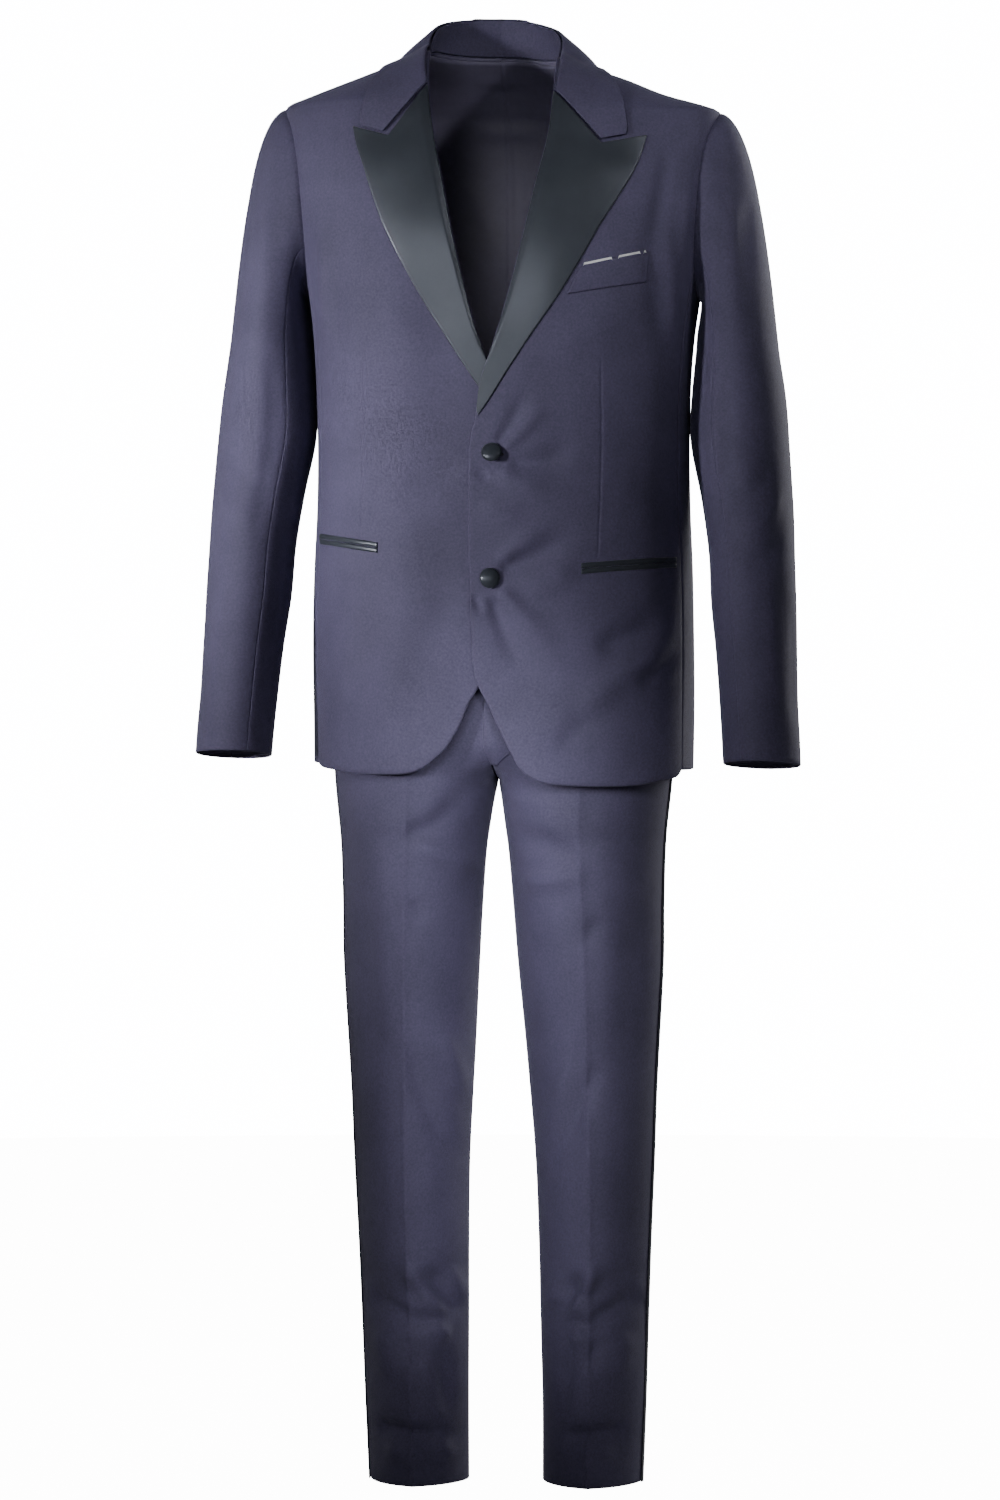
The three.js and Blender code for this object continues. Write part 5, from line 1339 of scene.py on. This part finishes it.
for label, side in (("left", 1), ("right", -1)):
    trouserPanel(label, side, False)
    trouserPanel(label, side, True)
    sideStripe(label, side)
waistband()
flyCover()
print("suit: trousers made")

# Floor, light and camera, in metres. The lens shows 1500 times 1.04 mm at the camera's distance over the
# 36 mm of the sensor's height
studio = {"floorZ": -1.4875, "floorTone": 0.86, "floorGlow": 14, "floorRadius": 5, "floorSides": 96,
          "worldTone": (0.97, 0.98, 1.0), "roomLight": 0.085, "seenWorld": 16}
view = {"azimuth": math.radians(5.5), "distance": 5.5, "across": -0.00416, "height": -0.724,
        "lens": 36 * 5500 / (1500 * 1.04)}


# The floor: one flat disc, pale and brighter to the camera than the light alone
def floorDisc():
    sides, reach = studio["floorSides"], studio["floorRadius"]
    turn = np.linspace(0, 2 * math.pi, sides + 1)[:-1]
    points = joined(reach * np.cos(turn), reach * np.sin(turn), studio["floorZ"])
    material = bpy.data.materials.new("paleFloor")
    material.use_nodes = True
    tree = material.node_tree
    shader = next(n for n in tree.nodes if n.type == "BSDF_PRINCIPLED")
    shader.inputs["Base Color"].default_value = (*[studio["floorTone"]] * 3, 1)
    shader.inputs["Roughness"].default_value = 0.9
    shader.inputs["Emission Color"].default_value = (1, 1, 1, 1)
    ray = tree.nodes.new("ShaderNodeLightPath")
    tree.links.new(mathNode(tree, "MULTIPLY", ray.outputs["Is Camera Ray"], studio["floorGlow"]),
                   shader.inputs["Emission Strength"])
    floor = makeMesh("studioFloor", points * 1000, [list(range(sides))], points[:, :2], [material])


def areaLight(name, place, target, size, power, spread, tone=(1, 1, 1)):
    lamp = bpy.data.lights.new(name, "AREA")
    lamp.shape = "RECTANGLE"
    lamp.size, lamp.size_y = size
    lamp.energy, lamp.color, lamp.spread = power, tone, math.radians(spread)
    holder = bpy.data.objects.new(name, lamp)
    collection.objects.link(holder)
    back = np.array(place, float) - np.array(target, float)
    yaw, pitch = math.atan2(back[0], -back[1]), math.atan2(back[2], math.hypot(back[0], back[1]))
    holder.location = place
    holder.rotation_euler = (math.pi / 2 - pitch, 0, yaw)


floorDisc()
# Two soft keys from the wearer's right, one over the other, reach the jacket and leave the legs in shade.
# The legs have one light from above the front and one each across to their inner faces. The others are there
# for the satin, the far shoulder, the lining at the neck, the sides and the back. Each has its place, the point
# it is turned to, its size, its power and its spread in degrees
areaLight("keyHigh", (-2.95, -2.9, -0.1), (-0.16, 0, -0.2), (0.5, 0.5), 1.15, 13, (1.0, 0.99, 0.98))
areaLight("keyLow", (-2.95, -2.9, -0.4), (-0.17, 0, -0.54), (0.5, 0.5), 1.15, 11, (1.0, 0.99, 0.98))
areaLight("satinLight", (-0.5, -4.6, 0.05), (0.05, 0, -0.22), (1.8, 0.9), 0.72, 18, (0.95, 0.97, 1.0))
areaLight("legLight", (0.0, -0.95, -0.52), (0, 0, -1.02), (0.2, 0.2), 0.4, 48)
areaLight("innerLegRight", (0.5, -1.6, -0.72), (-0.075, 0, -1.0), (0.05, 0.7), 0.2, 11)
areaLight("innerLegLeft", (-0.5, -1.6, -0.72), (0.085, 0, -1.0), (0.05, 0.7), 0.2, 11)
areaLight("shoulderLight", (2.2, -1.9, 1.1), (0.14, -0.02, -0.07), (0.4, 0.4), 0.24, 10)
areaLight("neckLight", (0.15, -1.6, -0.12), (0, 0.1, -0.2), (0.03, 0.2), 0.005, 4.5)
areaLight("backLight", (2.8, 4.0, 0.7), (0, 0, -0.65), (1.2, 1.2), 13, 64)
areaLight("sideLeft", (4.2, 2.6, 0.3), (0, 0, -0.65), (1.2, 1.8), 2.4, 60)
areaLight("sideRight", (-4.2, 2.6, 0.3), (0, 0, -0.65), (1.2, 1.8), 2.4, 60)
world = bpy.data.worlds.new("softRoom")
world.use_nodes = True
sky = next(n for n in world.node_tree.nodes if n.type == "BACKGROUND")
sky.inputs[0].default_value = (*studio["worldTone"], 1)
seen = world.node_tree.nodes.new("ShaderNodeLightPath")
extra = mathNode(world.node_tree, "MULTIPLY", seen.outputs["Is Camera Ray"], studio["seenWorld"])
world.node_tree.links.new(mathNode(world.node_tree, "ADD", extra, studio["roomLight"]), sky.inputs[1])
bpy.context.scene.world = world

lens = bpy.data.cameras.new("photoCamera")
lens.sensor_fit, lens.sensor_width, lens.sensor_height = "VERTICAL", 24, 36
lens.lens = view["lens"]
lens.clip_end = 60
camera = bpy.data.objects.new("photoCamera", lens)
collection.objects.link(camera)
sine, cosine = math.sin(view["azimuth"]), math.cos(view["azimuth"])
camera.location = (view["across"] * cosine + view["distance"] * sine,
                   view["across"] * sine - view["distance"] * cosine, view["height"])
camera.rotation_euler = (math.pi / 2, 0, view["azimuth"])
bpy.context.scene.camera = camera

print("suit: done")
